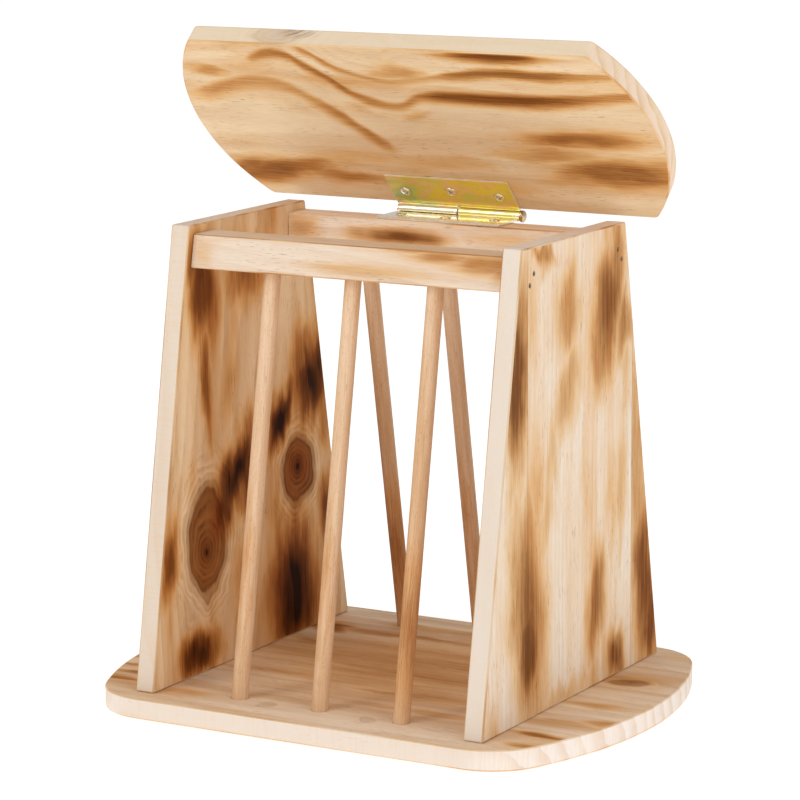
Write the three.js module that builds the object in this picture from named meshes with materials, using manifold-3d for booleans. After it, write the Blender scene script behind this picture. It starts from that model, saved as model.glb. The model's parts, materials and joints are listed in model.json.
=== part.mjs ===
// Free-standing hay rack for small animals, in flamed pine.
// Two tapered side panels stand on a base board. Two rails join them at the top, dowel bars close the front
// and the back, and a lid on a two-knuckle lift-off hinge covers the hay chamber.
// Millimetres. +Z is up, +X is to the right, and the front bars face -Y.
// The origin is the centre of the base board's underside.

import * as THREE from "three";
import { mergeVertices } from "three/addons/utils/BufferGeometryUtils.js";
import Module from "manifold-3d";

const wasm = await Module();
wasm.setup();

// ---- base board ----
const BASE_DEPTH = 204;
const BASE_STRAIGHT = 214; // length of the straight edges, before the ends bow out
const BASE_BOW = 28; // how far each end bows out past them
const BASE_CORNER_R = 32;
const BASE_T = 10;

// ---- side panels ----
const SIDE_HEIGHT = 220;
const SIDE_FOOT_DEPTH = 183;
const SIDE_TOP_DEPTH = 106;
const SIDE_T = 10;
const INNER_WIDTH = 168; // clear distance between the two panels

// ---- rails ----
const RAIL_WIDTH = 17; // measured across the top
const RAIL_HEIGHT = 16;
const FRONT_RAIL_SETBACK = 4; // behind the panels' slanted edges
const BACK_RAIL_SETBACK = 0.5;

// ---- dowel bars ----
const DOWEL_D = 8;
const DOWELS_PER_SIDE = 3;
const BASE_WEB = 3; // wood left under a dowel's socket in the base
const SOCKET_WEB = 1.4; // wood between a dowel's socket in a rail and the hinge screw above it

// ---- lid ----
const LID_DEPTH = 113;
const LID_STRAIGHT = 214;
const LID_BOW = 20;
const LID_CORNER_R = 4;
const LID_T = 10;
const LID_OPEN_DEG = 47; // how far the lid stands open from closed

// ---- hinge ----
const HINGE_LENGTH = 68;
const LEAF_REACH = 23.4; // hinge axis to a leaf's free edge
const LEAF_T = 1.2;
const LEAF_SWAGE = 0.4; // how far a knuckle stands proud of its leaf's outer face
const CURL_END_DEG = 196; // where a rolled knuckle stops, short of its leaf
const PIN_R = 1.2;
const PIN_HEAD_R = 3;
const PIN_HEAD_H = 2.2;
const PIN_TIP_INSET = 0.6;
const AXIS_BEHIND_RAIL = 7.2; // hinge axis to the back rail's top edge

// ---- screws and brads ----
const LEAF_SCREW = { headR: 2.7, shankR: 1.4, length: 8.5, dome: 0.7, slotW: 0.7, slotL: 3, slotH: 1.1 };
const LEAF_SCREW_INSET = 8; // from a leaf's end to the nearest hole
const LEAF_SCREW_REACH = 12.3; // hinge axis to the outer holes
const LEAF_SCREW_STAGGER = 2; // the middle hole stands this much further out
const BASE_SCREW = { headR: 3.5, shankR: 1.75, length: 30, dome: 0, slotW: 0.8, slotL: 4, slotH: 1.6 };
const BASE_SCREW_PITCH = 62;
const BASE_SCREW_SUNK = 0.5;
const BRAD_R = 0.7;
const BRAD_HEAD_R = 1.1;
const BRAD_HEAD_H = 0.8;
const BRAD_LENGTH = 24;
const BRAD_SUNK = 0.3;
const BRAD_SPREAD = { out: 4, down: 5 }; // second brad from the first

// ---- clearances ----
const BUTT_GAP = 0.15; // board against board
const HOLE_GAP = 0.2; // round a dowel, screw, brad or pin
const END_GAP = 0.4; // past the end of whatever sits in a blind hole
const SEAT_GAP = 0.1; // leaf against wood
const LID_REST_GAP = 0.3; // closed lid above the panels
const KNUCKLE_GAP = 0.5; // between the two knuckles, and round them
const LID_HEAD_GAP = 0.45; // the lid's back edge past the pin's head
const OPEN_END = 2; // how far a cutting tool runs out of the face it cuts

// ---- what follows from the sizes ----
const KNUCKLE_R = PIN_R + HOLE_GAP + LEAF_T; // the leaf is rolled round the pin
const LEAF_OFFSET = KNUCKLE_R - LEAF_SWAGE; // hinge axis to a leaf's outer face
const LEAF_SCREW_PITCH = HINGE_LENGTH / 2 - LEAF_SCREW_INSET;
const SIDE_TOP_Z = BASE_T + BUTT_GAP + SIDE_HEIGHT;
const EDGE_SLOPE = (SIDE_FOOT_DEPTH - SIDE_TOP_DEPTH) / 2 / SIDE_HEIGHT;
const LEAF_SEAT = LEAF_OFFSET + SEAT_GAP;
// From the hinge axis to the lid's back edge.
const LID_EDGE_GAP = Math.sqrt((PIN_HEAD_R + LID_HEAD_GAP) ** 2 - LEAF_SEAT ** 2);
const AXIS_Z = SIDE_TOP_Z + LID_REST_GAP - LEAF_SEAT;
const RAIL_TOP_Z = AXIS_Z - LEAF_SEAT;
const RAIL_FOOT_Z = RAIL_TOP_Z - RAIL_HEIGHT;
const RAIL_LENGTH = INNER_WIDTH - 2 * BUTT_GAP;
const SCREW_IN_RAIL = LEAF_SCREW.length - LEAF_T - SEAT_GAP;
const DOWEL_IN_BASE = BASE_T - BASE_WEB;
const DOWEL_IN_RAIL = RAIL_HEIGHT - SCREW_IN_RAIL - SOCKET_WEB - 2 * END_GAP;
const SIDE_MID_X = (INNER_WIDTH + SIDE_T) / 2;
const AXIS_Y = railFace(BACK_RAIL_SETBACK, RAIL_TOP_Z) + AXIS_BEHIND_RAIL;
const DOWEL_GAP = (INNER_WIDTH - DOWELS_PER_SIDE * DOWEL_D) / (DOWELS_PER_SIDE + 1);
const KNUCKLE_LENGTH = (HINGE_LENGTH - KNUCKLE_GAP) / 2;
const SIDES = [{ name: "left", sign: -1 }, { name: "right", sign: 1 }];
const FACES = [
  { name: "front", sign: -1, setback: FRONT_RAIL_SETBACK },
  { name: "back", sign: 1, setback: BACK_RAIL_SETBACK },
];

const FLAMED_PINE = { color: 0xdcb88a, roughness: 0.62, metalness: 0 };
const SIDE_PINE = { color: 0xd6ab76, roughness: 0.62, metalness: 0 };
const RAIL_PINE = { color: 0xe0c096, roughness: 0.62, metalness: 0 };
const BEECH = { color: 0xc79a68, roughness: 0.55, metalness: 0 };
const YELLOW_ZINC = { color: 0xc9a94a, roughness: 0.3, metalness: 1 };
const STEEL = { color: 0xb9b4a8, roughness: 0.32, metalness: 1 };

// Half the panels' depth at height z.
function edgeHalfDepth(z) {
  return SIDE_TOP_DEPTH / 2 + (SIDE_TOP_Z - z) * EDGE_SLOPE;
}

// Distance from the middle plane to a rail's outer face at height z.
function railFace(setback, z) {
  return edgeHalfDepth(z) - setback;
}

// Distance from the middle plane to the centre of a rail's underside, where the dowels enter.
function railFootCentre(setback) {
  const inner = railFace(setback, RAIL_TOP_Z) - RAIL_WIDTH;
  return (inner + railFace(setback, RAIL_FOOT_Z)) / 2;
}

// ---- solids ----

// A closed geometry as a solid that can be cut.
function solidOf(geometry) {
  const bare = geometry.clone();
  bare.deleteAttribute("normal");
  bare.deleteAttribute("uv");
  const merged = mergeVertices(bare, 1e-5);
  return new wasm.Manifold(new wasm.Mesh({
    numProp: 3,
    vertProperties: Float32Array.from(merged.attributes.position.array),
    triVerts: Uint32Array.from(merged.index.array),
  }));
}

// A solid back as a geometry.
function geometryOf(solid) {
  const { vertProperties, triVerts } = solid.getMesh();
  const geometry = new THREE.BufferGeometry();
  geometry.setAttribute("position", new THREE.BufferAttribute(vertProperties, 3));
  geometry.setIndex(new THREE.BufferAttribute(triVerts, 1));
  geometry.computeVertexNormals();
  return geometry;
}

// The first geometry with the others cut away.
function cut(geometry, tools) {
  return geometryOf(tools.reduce((left, tool) => left.subtract(solidOf(tool)), solidOf(geometry)));
}

// A profile drawn in Y and Z, extruded along X.
function alongX(shape, x0, x1, curveSegments = 12) {
  const geometry = new THREE.ExtrudeGeometry(shape, { depth: x1 - x0, bevelEnabled: false, curveSegments });
  const turn = new THREE.Matrix4().makeBasis(
    new THREE.Vector3(0, 1, 0), new THREE.Vector3(0, 0, 1), new THREE.Vector3(1, 0, 0));
  return geometry.applyMatrix4(turn).translate(x0, 0, 0);
}

// A polygon through the given corners.
function polygon(corners) {
  return new THREE.Shape(corners.map(([u, v]) => new THREE.Vector2(u, v)));
}

// Turns a geometry built along +Y so that it runs along a direction from a point.
function aimed(geometry, point, direction) {
  const turn = new THREE.Quaternion().setFromUnitVectors(
    new THREE.Vector3(0, 1, 0), direction.clone().normalize());
  return geometry.applyQuaternion(turn).translate(point.x, point.y, point.z);
}

// A round rod between two points.
function rod(from, to, radius, sides) {
  const direction = to.clone().sub(from);
  const length = direction.length();
  const geometry = new THREE.CylinderGeometry(radius, radius, length, sides).translate(0, length / 2, 0);
  return aimed(geometry, from, direction);
}

// A turned solid from its profile, which starts and ends on its axis.
function turned(profile, sides) {
  return new THREE.LatheGeometry(profile.map(([r, h]) => new THREE.Vector2(r, h)), sides);
}

// A board outline: two straight edges joined by ends that bow out as arcs, with rounded corners.
function bowEndedOutline(straight, depth, bow, cornerR) {
  const half = depth / 2;
  const arcR = (half * half + bow * bow) / (2 * bow);
  const arcX = straight / 2 + bow - arcR;
  const cornerY = half - cornerR;
  const cornerX = arcX + Math.sqrt((arcR - cornerR) ** 2 - cornerY ** 2);
  const meet = Math.atan2(cornerY, cornerX - arcX);
  const outline = new THREE.Shape();
  outline.moveTo(-cornerX, -half);
  outline.lineTo(cornerX, -half);
  outline.absarc(cornerX, -cornerY, cornerR, -Math.PI / 2, -meet);
  outline.absarc(arcX, 0, arcR, -meet, meet);
  outline.absarc(cornerX, cornerY, cornerR, meet, Math.PI / 2);
  outline.lineTo(-cornerX, half);
  outline.absarc(-cornerX, cornerY, cornerR, Math.PI / 2, Math.PI - meet);
  outline.absarc(-arcX, 0, arcR, Math.PI - meet, Math.PI + meet);
  outline.absarc(-cornerX, -cornerY, cornerR, Math.PI + meet, Math.PI * 1.5);
  return outline;
}

function mesh(name, geometry, finish) {
  const result = new THREE.Mesh(geometry, new THREE.MeshStandardMaterial(finish));
  result.name = name;
  return result;
}

// ---- fasteners ----

// A countersunk screw along -Y with its head's rim at the origin.
function screwBody(size) {
  const cone = size.headR - size.shankR;
  const profile = [
    [0, -size.length], [size.shankR, -size.length + size.shankR], [size.shankR, -cone],
    [size.headR, 0], [size.headR * 0.75, size.dome * 0.6], [size.headR * 0.35, size.dome],
    [0, size.dome],
  ];
  if (size.dome === 0) {
    profile.splice(4, 2);
  }
  const slots = [0, Math.PI / 2].map((angle) =>
    new THREE.BoxGeometry(size.slotL, 2 * size.slotH, size.slotW).rotateY(angle).translate(0, size.dome, 0));
  return cut(turned(profile, 20), slots);
}

// The hole that such a screw needs.
function screwHole(size) {
  const cone = size.headR - size.shankR;
  return turned([
    [0, -size.length - END_GAP], [size.shankR + HOLE_GAP, -size.length - END_GAP],
    [size.shankR + HOLE_GAP, -cone - HOLE_GAP], [size.headR + HOLE_GAP, -HOLE_GAP / 2],
    [size.headR + HOLE_GAP, OPEN_END], [0, OPEN_END],
  ], 20);
}

// A headed brad along -Y with the top of its head at the origin.
function bradBody() {
  return turned([
    [0, -BRAD_LENGTH], [BRAD_R, -BRAD_LENGTH + 2 * BRAD_R], [BRAD_R, -BRAD_HEAD_H],
    [BRAD_HEAD_R, -BRAD_HEAD_H / 2], [BRAD_HEAD_R, 0], [0, 0],
  ], 12);
}

// The hole that a brad needs.
function bradHole() {
  return turned([
    [0, -BRAD_LENGTH - END_GAP], [BRAD_R + HOLE_GAP, -BRAD_LENGTH - END_GAP],
    [BRAD_R + HOLE_GAP, -BRAD_HEAD_H - HOLE_GAP], [BRAD_HEAD_R + HOLE_GAP, -BRAD_HEAD_H / 2 - HOLE_GAP],
    [BRAD_HEAD_R + HOLE_GAP, OPEN_END], [0, OPEN_END],
  ], 12);
}

// Where the brads stand: two through each panel into each end of each rail.
function bradPlaces() {
  const places = [];
  for (const side of SIDES) {
    for (const face of FACES) {
      const middle = railFace(face.setback, RAIL_TOP_Z) - RAIL_WIDTH / 2;
      for (const n of [0, 1]) {
        places.push({
          name: `${face.name}_rail_brad_${side.name}_${n + 1}`,
          side: side.name,
          face: face.name,
          head: new THREE.Vector3(
            side.sign * (INNER_WIDTH / 2 + SIDE_T - BRAD_SUNK),
            face.sign * (middle + n * BRAD_SPREAD.out),
            RAIL_TOP_Z - RAIL_HEIGHT / 2 - n * BRAD_SPREAD.down),
          out: new THREE.Vector3(side.sign, 0, 0),
        });
      }
    }
  }
  return places;
}

// Where the base screws stand: three from below into the foot of each panel.
function baseScrewPlaces() {
  return SIDES.flatMap((side) => [-1, 0, 1].map((step, n) => ({
    name: `base_screw_${side.name}_${n + 1}`,
    side: side.name,
    head: new THREE.Vector3(side.sign * SIDE_MID_X, step * BASE_SCREW_PITCH, BASE_SCREW_SUNK),
    out: new THREE.Vector3(0, 0, -1),
  })));
}

// Where a leaf's screws stand, from the hinge axis: x along it and y towards the leaf's free edge.
function leafScrewSpots() {
  return [-1, 0, 1].map((step) => ({
    x: step * LEAF_SCREW_PITCH,
    y: LEAF_SCREW_REACH + (step === 0 ? LEAF_SCREW_STAGGER : 0),
  }));
}

function frameLeafScrewPlaces() {
  return leafScrewSpots().map((spot, n) => ({
    name: `frame_leaf_screw_${n + 1}`,
    head: new THREE.Vector3(spot.x, AXIS_Y - spot.y, AXIS_Z - LEAF_OFFSET + LEAF_T),
    out: new THREE.Vector3(0, 0, 1),
  }));
}

// The same for the lid's leaf, in the closed lid's own frame about the hinge axis.
function lidLeafScrewPlaces() {
  return leafScrewSpots().map((spot, n) => ({
    name: `lid_leaf_screw_${n + 1}`,
    head: new THREE.Vector3(spot.x, -spot.y, LEAF_OFFSET - LEAF_T),
    out: new THREE.Vector3(0, 0, -1),
  }));
}

function fastenersAt(places, body, finish) {
  return places.map((place) => mesh(place.name, aimed(body(), place.head, place.out), finish));
}

function holesAt(places, hole) {
  return places.map((place) => aimed(hole(), place.head, place.out));
}

// ---- dowels ----

// The line of each dowel: parallel to the panels' slanted edges, through the middle of a rail's underside.
function dowelPlaces() {
  return FACES.flatMap((face) => Array.from({ length: DOWELS_PER_SIDE }, (_, n) => {
    const x = -INNER_WIDTH / 2 + (n + 1) * DOWEL_GAP + (n + 0.5) * DOWEL_D;
    const at = (z) => new THREE.Vector3(
      x, face.sign * (railFootCentre(face.setback) + (RAIL_FOOT_Z - z) * EDGE_SLOPE), z);
    return {
      name: `${face.name}_dowel_${n + 1}`,
      face: face.name,
      foot: at(BASE_T - DOWEL_IN_BASE),
      top: at(RAIL_FOOT_Z + DOWEL_IN_RAIL),
    };
  }));
}

function dowel(place) {
  return mesh(place.name, rod(place.foot, place.top, DOWEL_D / 2, 24), BEECH);
}

// The line of a dowel's sockets in the base and in a rail, as one cutting tool.
function dowelHole(place) {
  const along = place.top.clone().sub(place.foot).normalize().multiplyScalar(END_GAP);
  return rod(place.foot.clone().sub(along), place.top.clone().add(along), DOWEL_D / 2 + HOLE_GAP, 24);
}

// ---- boards ----

function baseBoard() {
  const outline = bowEndedOutline(BASE_STRAIGHT, BASE_DEPTH, BASE_BOW, BASE_CORNER_R);
  const board = new THREE.ExtrudeGeometry(outline, { depth: BASE_T, bevelEnabled: false, curveSegments: 14 });
  const tools = dowelPlaces().map(dowelHole);
  tools.push(...holesAt(baseScrewPlaces(), () => screwHole(BASE_SCREW)));
  return mesh("base_board", cut(board, tools), FLAMED_PINE);
}

function sidePanel(side) {
  const foot = BASE_T + BUTT_GAP;
  const profile = polygon([
    [-SIDE_FOOT_DEPTH / 2, foot], [SIDE_FOOT_DEPTH / 2, foot],
    [SIDE_TOP_DEPTH / 2, SIDE_TOP_Z], [-SIDE_TOP_DEPTH / 2, SIDE_TOP_Z],
  ]);
  const middle = side.sign * SIDE_MID_X;
  const panel = alongX(profile, middle - SIDE_T / 2, middle + SIDE_T / 2);
  const mine = (place) => place.side === side.name;
  const tools = holesAt(bradPlaces().filter(mine), bradHole);
  tools.push(...holesAt(baseScrewPlaces().filter(mine), () => screwHole(BASE_SCREW)));
  return mesh(`${side.name}_side_panel`, cut(panel, tools), SIDE_PINE);
}

function topRail(face) {
  const outerTop = railFace(face.setback, RAIL_TOP_Z);
  const corners = [
    [outerTop - RAIL_WIDTH, RAIL_FOOT_Z], [railFace(face.setback, RAIL_FOOT_Z), RAIL_FOOT_Z],
    [outerTop, RAIL_TOP_Z], [outerTop - RAIL_WIDTH, RAIL_TOP_Z],
  ].map(([y, z]) => [face.sign * y, z]);
  const profile = polygon(face.sign > 0 ? corners : corners.reverse());
  const rail = alongX(profile, -RAIL_LENGTH / 2, RAIL_LENGTH / 2);
  const mine = (place) => place.face === face.name;
  const tools = dowelPlaces().filter(mine).map(dowelHole);
  tools.push(...holesAt(bradPlaces().filter(mine), bradHole));
  if (face.name === "back") {
    tools.push(...holesAt(frameLeafScrewPlaces(), () => screwHole(LEAF_SCREW)));
  }
  return mesh(`${face.name}_top_rail`, cut(rail, tools), RAIL_PINE);
}

// The lid's board, closed, in its own frame about the hinge axis.
function lidBoard() {
  const outline = bowEndedOutline(LID_STRAIGHT, LID_DEPTH, LID_BOW, LID_CORNER_R);
  const board = new THREE.ExtrudeGeometry(outline, { depth: LID_T, bevelEnabled: false, curveSegments: 14 })
    .translate(0, -LID_EDGE_GAP - LID_DEPTH / 2, LEAF_SEAT);
  const tools = holesAt(lidLeafScrewPlaces(), () => screwHole(LEAF_SCREW));
  return mesh("lid_board", cut(board, tools), FLAMED_PINE);
}

// ---- hinge ----

// Section of a leaf whose end is rolled round the pin, about the hinge axis. The leaf lies below the axis.
function rolledSection() {
  const top = LEAF_OFFSET - LEAF_T;
  const boreR = PIN_R + HOLE_GAP;
  const outerStart = -Math.PI + Math.asin(LEAF_OFFSET / KNUCKLE_R);
  const innerEnd = -Math.PI + Math.asin(top / boreR);
  const curlEnd = THREE.MathUtils.degToRad(CURL_END_DEG);
  const section = new THREE.Shape();
  section.moveTo(-LEAF_REACH, -LEAF_OFFSET);
  section.absarc(0, 0, KNUCKLE_R, outerStart, curlEnd);
  section.absarc(0, 0, boreR, curlEnd, innerEnd, true);
  section.lineTo(-LEAF_REACH, -top);
  return section;
}

// A leaf about the hinge axis, with its knuckle on one half and clear of the other leaf's on the other.
function leafGeometry(knuckleSign) {
  const clear = KNUCKLE_R + KNUCKLE_GAP;
  const flat = polygon([
    [-LEAF_REACH, -LEAF_OFFSET], [-clear, -LEAF_OFFSET],
    [-clear, -LEAF_OFFSET + LEAF_T], [-LEAF_REACH, -LEAF_OFFSET + LEAF_T],
  ]);
  const half = HINGE_LENGTH / 2;
  const inner = half - KNUCKLE_LENGTH;
  const rolledSpan = knuckleSign > 0 ? [inner, half] : [-half, -inner];
  const rolled = solidOf(alongX(rolledSection(), ...rolledSpan, 20));
  return geometryOf(rolled.add(solidOf(alongX(flat, -half, half))));
}

function frameLeaf() {
  const leaf = leafGeometry(-1).translate(0, AXIS_Y, AXIS_Z);
  const tools = holesAt(frameLeafScrewPlaces(), () => screwHole(LEAF_SCREW));
  return mesh("hinge_frame_leaf", cut(leaf, tools), YELLOW_ZINC);
}

// The lid's leaf, closed: the same stamping turned over, so its knuckle is on the other half.
function lidLeaf() {
  const leaf = leafGeometry(-1).rotateY(Math.PI);
  const tools = holesAt(lidLeafScrewPlaces(), () => screwHole(LEAF_SCREW));
  return mesh("hinge_lid_leaf", cut(leaf, tools), YELLOW_ZINC);
}

// The pin, with its domed head outside the lid's knuckle.
function hingePin() {
  const half = HINGE_LENGTH / 2;
  const headFoot = half + HOLE_GAP;
  const profile = [
    [0, -half + PIN_TIP_INSET], [PIN_R, -half + PIN_TIP_INSET + PIN_R / 2], [PIN_R, headFoot],
    [PIN_HEAD_R, headFoot], [PIN_HEAD_R, headFoot + PIN_HEAD_H * 0.3],
    [PIN_HEAD_R * 0.85, headFoot + PIN_HEAD_H * 0.7], [PIN_HEAD_R * 0.5, headFoot + PIN_HEAD_H * 0.94],
    [0, headFoot + PIN_HEAD_H],
  ];
  const start = new THREE.Vector3(0, AXIS_Y, AXIS_Z);
  return mesh("hinge_pin", aimed(turned(profile, 24), start, new THREE.Vector3(1, 0, 0)), YELLOW_ZINC);
}

// ---- assembly ----

function stand() {
  const group = new THREE.Group();
  group.add(baseBoard(), ...SIDES.map(sidePanel), ...FACES.map(topRail), ...dowelPlaces().map(dowel));
  group.add(...fastenersAt(baseScrewPlaces(), () => screwBody(BASE_SCREW), STEEL));
  group.add(...fastenersAt(bradPlaces(), bradBody, STEEL));
  group.add(frameLeaf(), ...fastenersAt(frameLeafScrewPlaces(), () => screwBody(LEAF_SCREW), STEEL));
  return group;
}

// The lid and what is fixed to it, turned open about the hinge axis.
function lid() {
  const group = new THREE.Group();
  group.add(lidBoard(), lidLeaf());
  group.add(...fastenersAt(lidLeafScrewPlaces(), () => screwBody(LEAF_SCREW), STEEL));
  group.position.set(0, AXIS_Y, AXIS_Z);
  group.rotation.x = -THREE.MathUtils.degToRad(LID_OPEN_DEG);
  return group;
}

const rack = new THREE.Group();
rack.add(stand(), hingePin(), lid());

export default rack;
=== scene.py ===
"""Looks of a free-standing hay rack in flamed pine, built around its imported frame.

In each wooden piece's own frame +X runs along the grain, +Y across it and +Z through the thickness.
Sizes are in millimetres unless a name says otherwise. Blender objects are in metres.
"""

import json
import logging
import math
from collections.abc import Sequence
from dataclasses import dataclass, field
from enum import Enum

import bmesh
import bpy
from mathutils import Matrix, Vector


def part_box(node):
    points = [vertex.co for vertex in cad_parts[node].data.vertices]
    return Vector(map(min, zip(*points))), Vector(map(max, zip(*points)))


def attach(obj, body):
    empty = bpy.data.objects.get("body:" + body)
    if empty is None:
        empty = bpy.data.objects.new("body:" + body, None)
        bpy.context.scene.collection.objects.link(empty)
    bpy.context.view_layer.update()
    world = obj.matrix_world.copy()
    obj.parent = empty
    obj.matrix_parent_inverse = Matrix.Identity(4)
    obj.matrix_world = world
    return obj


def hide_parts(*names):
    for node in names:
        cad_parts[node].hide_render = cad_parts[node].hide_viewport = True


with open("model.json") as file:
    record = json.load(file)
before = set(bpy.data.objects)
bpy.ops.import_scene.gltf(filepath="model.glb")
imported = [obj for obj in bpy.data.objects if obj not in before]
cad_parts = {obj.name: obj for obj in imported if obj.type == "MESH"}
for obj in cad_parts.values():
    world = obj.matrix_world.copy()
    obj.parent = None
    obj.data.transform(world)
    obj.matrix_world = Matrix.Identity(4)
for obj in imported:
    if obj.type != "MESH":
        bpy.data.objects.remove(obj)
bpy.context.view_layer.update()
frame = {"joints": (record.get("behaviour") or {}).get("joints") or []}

LOG = logging.getLogger("hay_rack")
MM = 0.001

Point2 = tuple[float, float]
Point3 = tuple[float, float, float]
Colour = tuple[float, float, float]
Socket = bpy.types.NodeSocket
Stops = tuple[tuple[float, Colour], ...]

# Range along and across the boards that holds every line drawn on them.
BOARD_REACH: Point2 = (-135.0, 135.0)
BOARD_SPAN: Point2 = (-60.0, 60.0)
ANY_STAVE: Point2 = (-500.0, 500.0)
PATCH_DEPTH = 8.0  # how deep a board's browned patches and its painted shade reach
STREAK_DEPTH = 4.0  # how deep a brown band reaches
UPPER_FACE = 5.0  # height of a 10 mm board's faces in its own frame
UNDER_FACE = -5.0
SHARP_ANGLE = math.radians(38)
COAT_ROUGHNESS = 0.08
HOLE_RUN_OUT = 2.0  # how far a hole's cutter runs out of the wood
HOLE_END_GAP = 0.4  # left past the end of whatever sits in a blind hole
HOLE_SIDES = 28
FACE_WEIGHT = 80  # how far large faces rule the shading of their eased edges
DRILLED_WALL = 0.3  # how sawn a hole's wall looks

# Ramp that darkens the wood for flame browning and for painted shade alike.
DARKENING_TINTS: Stops = (
    (0.0, (1.0, 1.0, 1.0)), (0.2, (0.92, 0.74, 0.51)), (0.42, (0.65, 0.39, 0.18)),
    (0.68, (0.28, 0.122, 0.042)), (1.0, (0.030, 0.012, 0.007)),
)
SINGE_TINTS: Stops = (
    (0.0, (1.0, 1.0, 1.0)), (0.3, (0.88, 0.70, 0.50)), (0.6, (0.55, 0.33, 0.18)), (1.0, (0.2, 0.1, 0.06)),
)
KNOT_TINTS: Stops = (
    (0.0, (0.004, 0.002, 0.001)), (0.085, (0.006, 0.003, 0.001)), (0.14, (0.20, 0.062, 0.012)),
    (0.36, (0.30, 0.108, 0.026)), (0.66, (0.36, 0.145, 0.04)), (0.86, (0.27, 0.105, 0.027)),
    (1.0, (0.46, 0.24, 0.088)),
)
ZINC_TINTS: Stops = (
    (0.26, (0.56, 0.62, 0.24)), (0.36, (0.72, 0.72, 0.18)), (0.46, (0.86, 0.66, 0.14)),
    (0.54, (0.90, 0.60, 0.36)), (0.62, (0.90, 0.70, 0.10)), (0.85, (0.88, 0.74, 0.12)),
)


class Body(Enum):
    """The moving bodies of the frame."""

    RACK = "rack"
    PIN = "pin"
    LID = "lid"


class Slot(Enum):
    """The record's material slots."""

    BASE_PINE = "base_pine"
    SIDE_PINE = "side_pine"
    RAIL_PINE = "rail_pine"
    LID_PINE = "lid_pine"
    DOWEL_BEECH = "dowel_beech"
    HINGE_ZINC = "hinge_zinc"
    PIN_ZINC = "pin_zinc"
    SCREW_STEEL = "screw_steel"
    BRAD_STEEL = "brad_steel"


class Layer(Enum):
    """Values that a mesh keeps on its faces for its finish."""

    SAWN = "sawn"
    EASED = "eased"
    END_GRAIN = "end_grain"


# ---------------------------------------------------------------- mesh work


def turned_matrix(point: Vector, direction: Vector) -> Matrix:
    """Place of a piece turned about its own Z axis.

    Args:
        point: Where the piece's own origin goes, in metres.
        direction: Where its own Z axis points.

    Returns:
        The matrix from the piece's frame to the row frame.
    """
    return Matrix.Translation(point) @ direction.to_track_quat("Z", "Y").to_matrix().to_4x4()


def rounded_outline(corners: Sequence[Point2], radius: float, steps: int = 4) -> list[Point2]:
    """Rounds the corners of a convex outline.

    Args:
        corners: Corners, counter-clockwise.
        radius: Radius of each rounded corner.
        steps: Straight runs in each rounded corner.

    Returns:
        The points of the rounded outline, counter-clockwise.
    """
    points: list[Point2] = []
    for index, corner in enumerate(corners):
        here = Vector(corner)
        before = (Vector(corners[index - 1]) - here).normalized()
        after = (Vector(corners[(index + 1) % len(corners)]) - here).normalized()
        half = before.angle(after) / 2
        centre = here + (before + after).normalized() * (radius / math.sin(half))
        start = here + before * (radius / math.tan(half)) - centre
        turn = math.pi - 2 * half
        for step in range(steps + 1):
            angle = turn * step / steps
            points.append((
                centre.x + start.x * math.cos(angle) - start.y * math.sin(angle),
                centre.y + start.x * math.sin(angle) + start.y * math.cos(angle),
            ))
    return points


def bow_ended_outline(straight: float, depth: float, bow: float, corner_r: float) -> list[Point2]:
    """Outline of a board whose two ends bow out as arcs.

    Args:
        straight: Length of the two straight edges.
        depth: Distance between them.
        bow: How far each end stands out past the straight edges.
        corner_r: Radius where an end meets a straight edge.

    Returns:
        The points of the outline, counter-clockwise.
    """
    half = depth / 2
    arc_r = (half * half + bow * bow) / (2 * bow)
    arc_x = straight / 2 + bow - arc_r
    corner_y = half - corner_r
    corner_x = arc_x + math.sqrt((arc_r - corner_r) ** 2 - corner_y**2)
    meet = math.atan2(corner_y, corner_x - arc_x)
    right: list[Point2] = []

    def sweep(centre: Point2, radius: float, start: float, end: float, steps: int) -> None:
        """Adds an arc to the right-hand half.

        Args:
            centre: The arc's centre.
            radius: Its radius.
            start: The angle it starts at.
            end: The angle it ends at.
            steps: How many points it has.
        """
        for step in range(steps + 1):
            angle = start + (end - start) * step / steps
            right.append((centre[0] + radius * math.cos(angle), centre[1] + radius * math.sin(angle)))

    sweep((corner_x, -corner_y), corner_r, -math.pi / 2, -meet, 10)
    sweep((arc_x, 0), arc_r, -meet, meet, 36)
    sweep((corner_x, corner_y), corner_r, meet, math.pi / 2, 10)
    outline = right + [(-x, -y) for x, y in right]
    return [p for n, p in enumerate(outline) if math.dist(p, outline[n - 1]) > 0.01]


def inset_outline(points: Sequence[Point2], distance: float) -> list[Point2]:
    """Moves each point of a convex outline inwards, so that every side moves by the same distance.

    Args:
        points: The outline, counter-clockwise.
        distance: How far its sides move.

    Returns:
        The points of the smaller outline.
    """
    moved: list[Point2] = []
    for index, point in enumerate(points):
        here = Vector(point)
        before = (here - Vector(points[index - 1])).normalized()
        after = (Vector(points[(index + 1) % len(points)]) - here).normalized()
        inward = (before.orthogonal() + after.orthogonal()).normalized()
        place = here + inward * (distance / max(0.3, inward.dot(after.orthogonal())))
        moved.append((place.x, place.y))
    return moved


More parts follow.
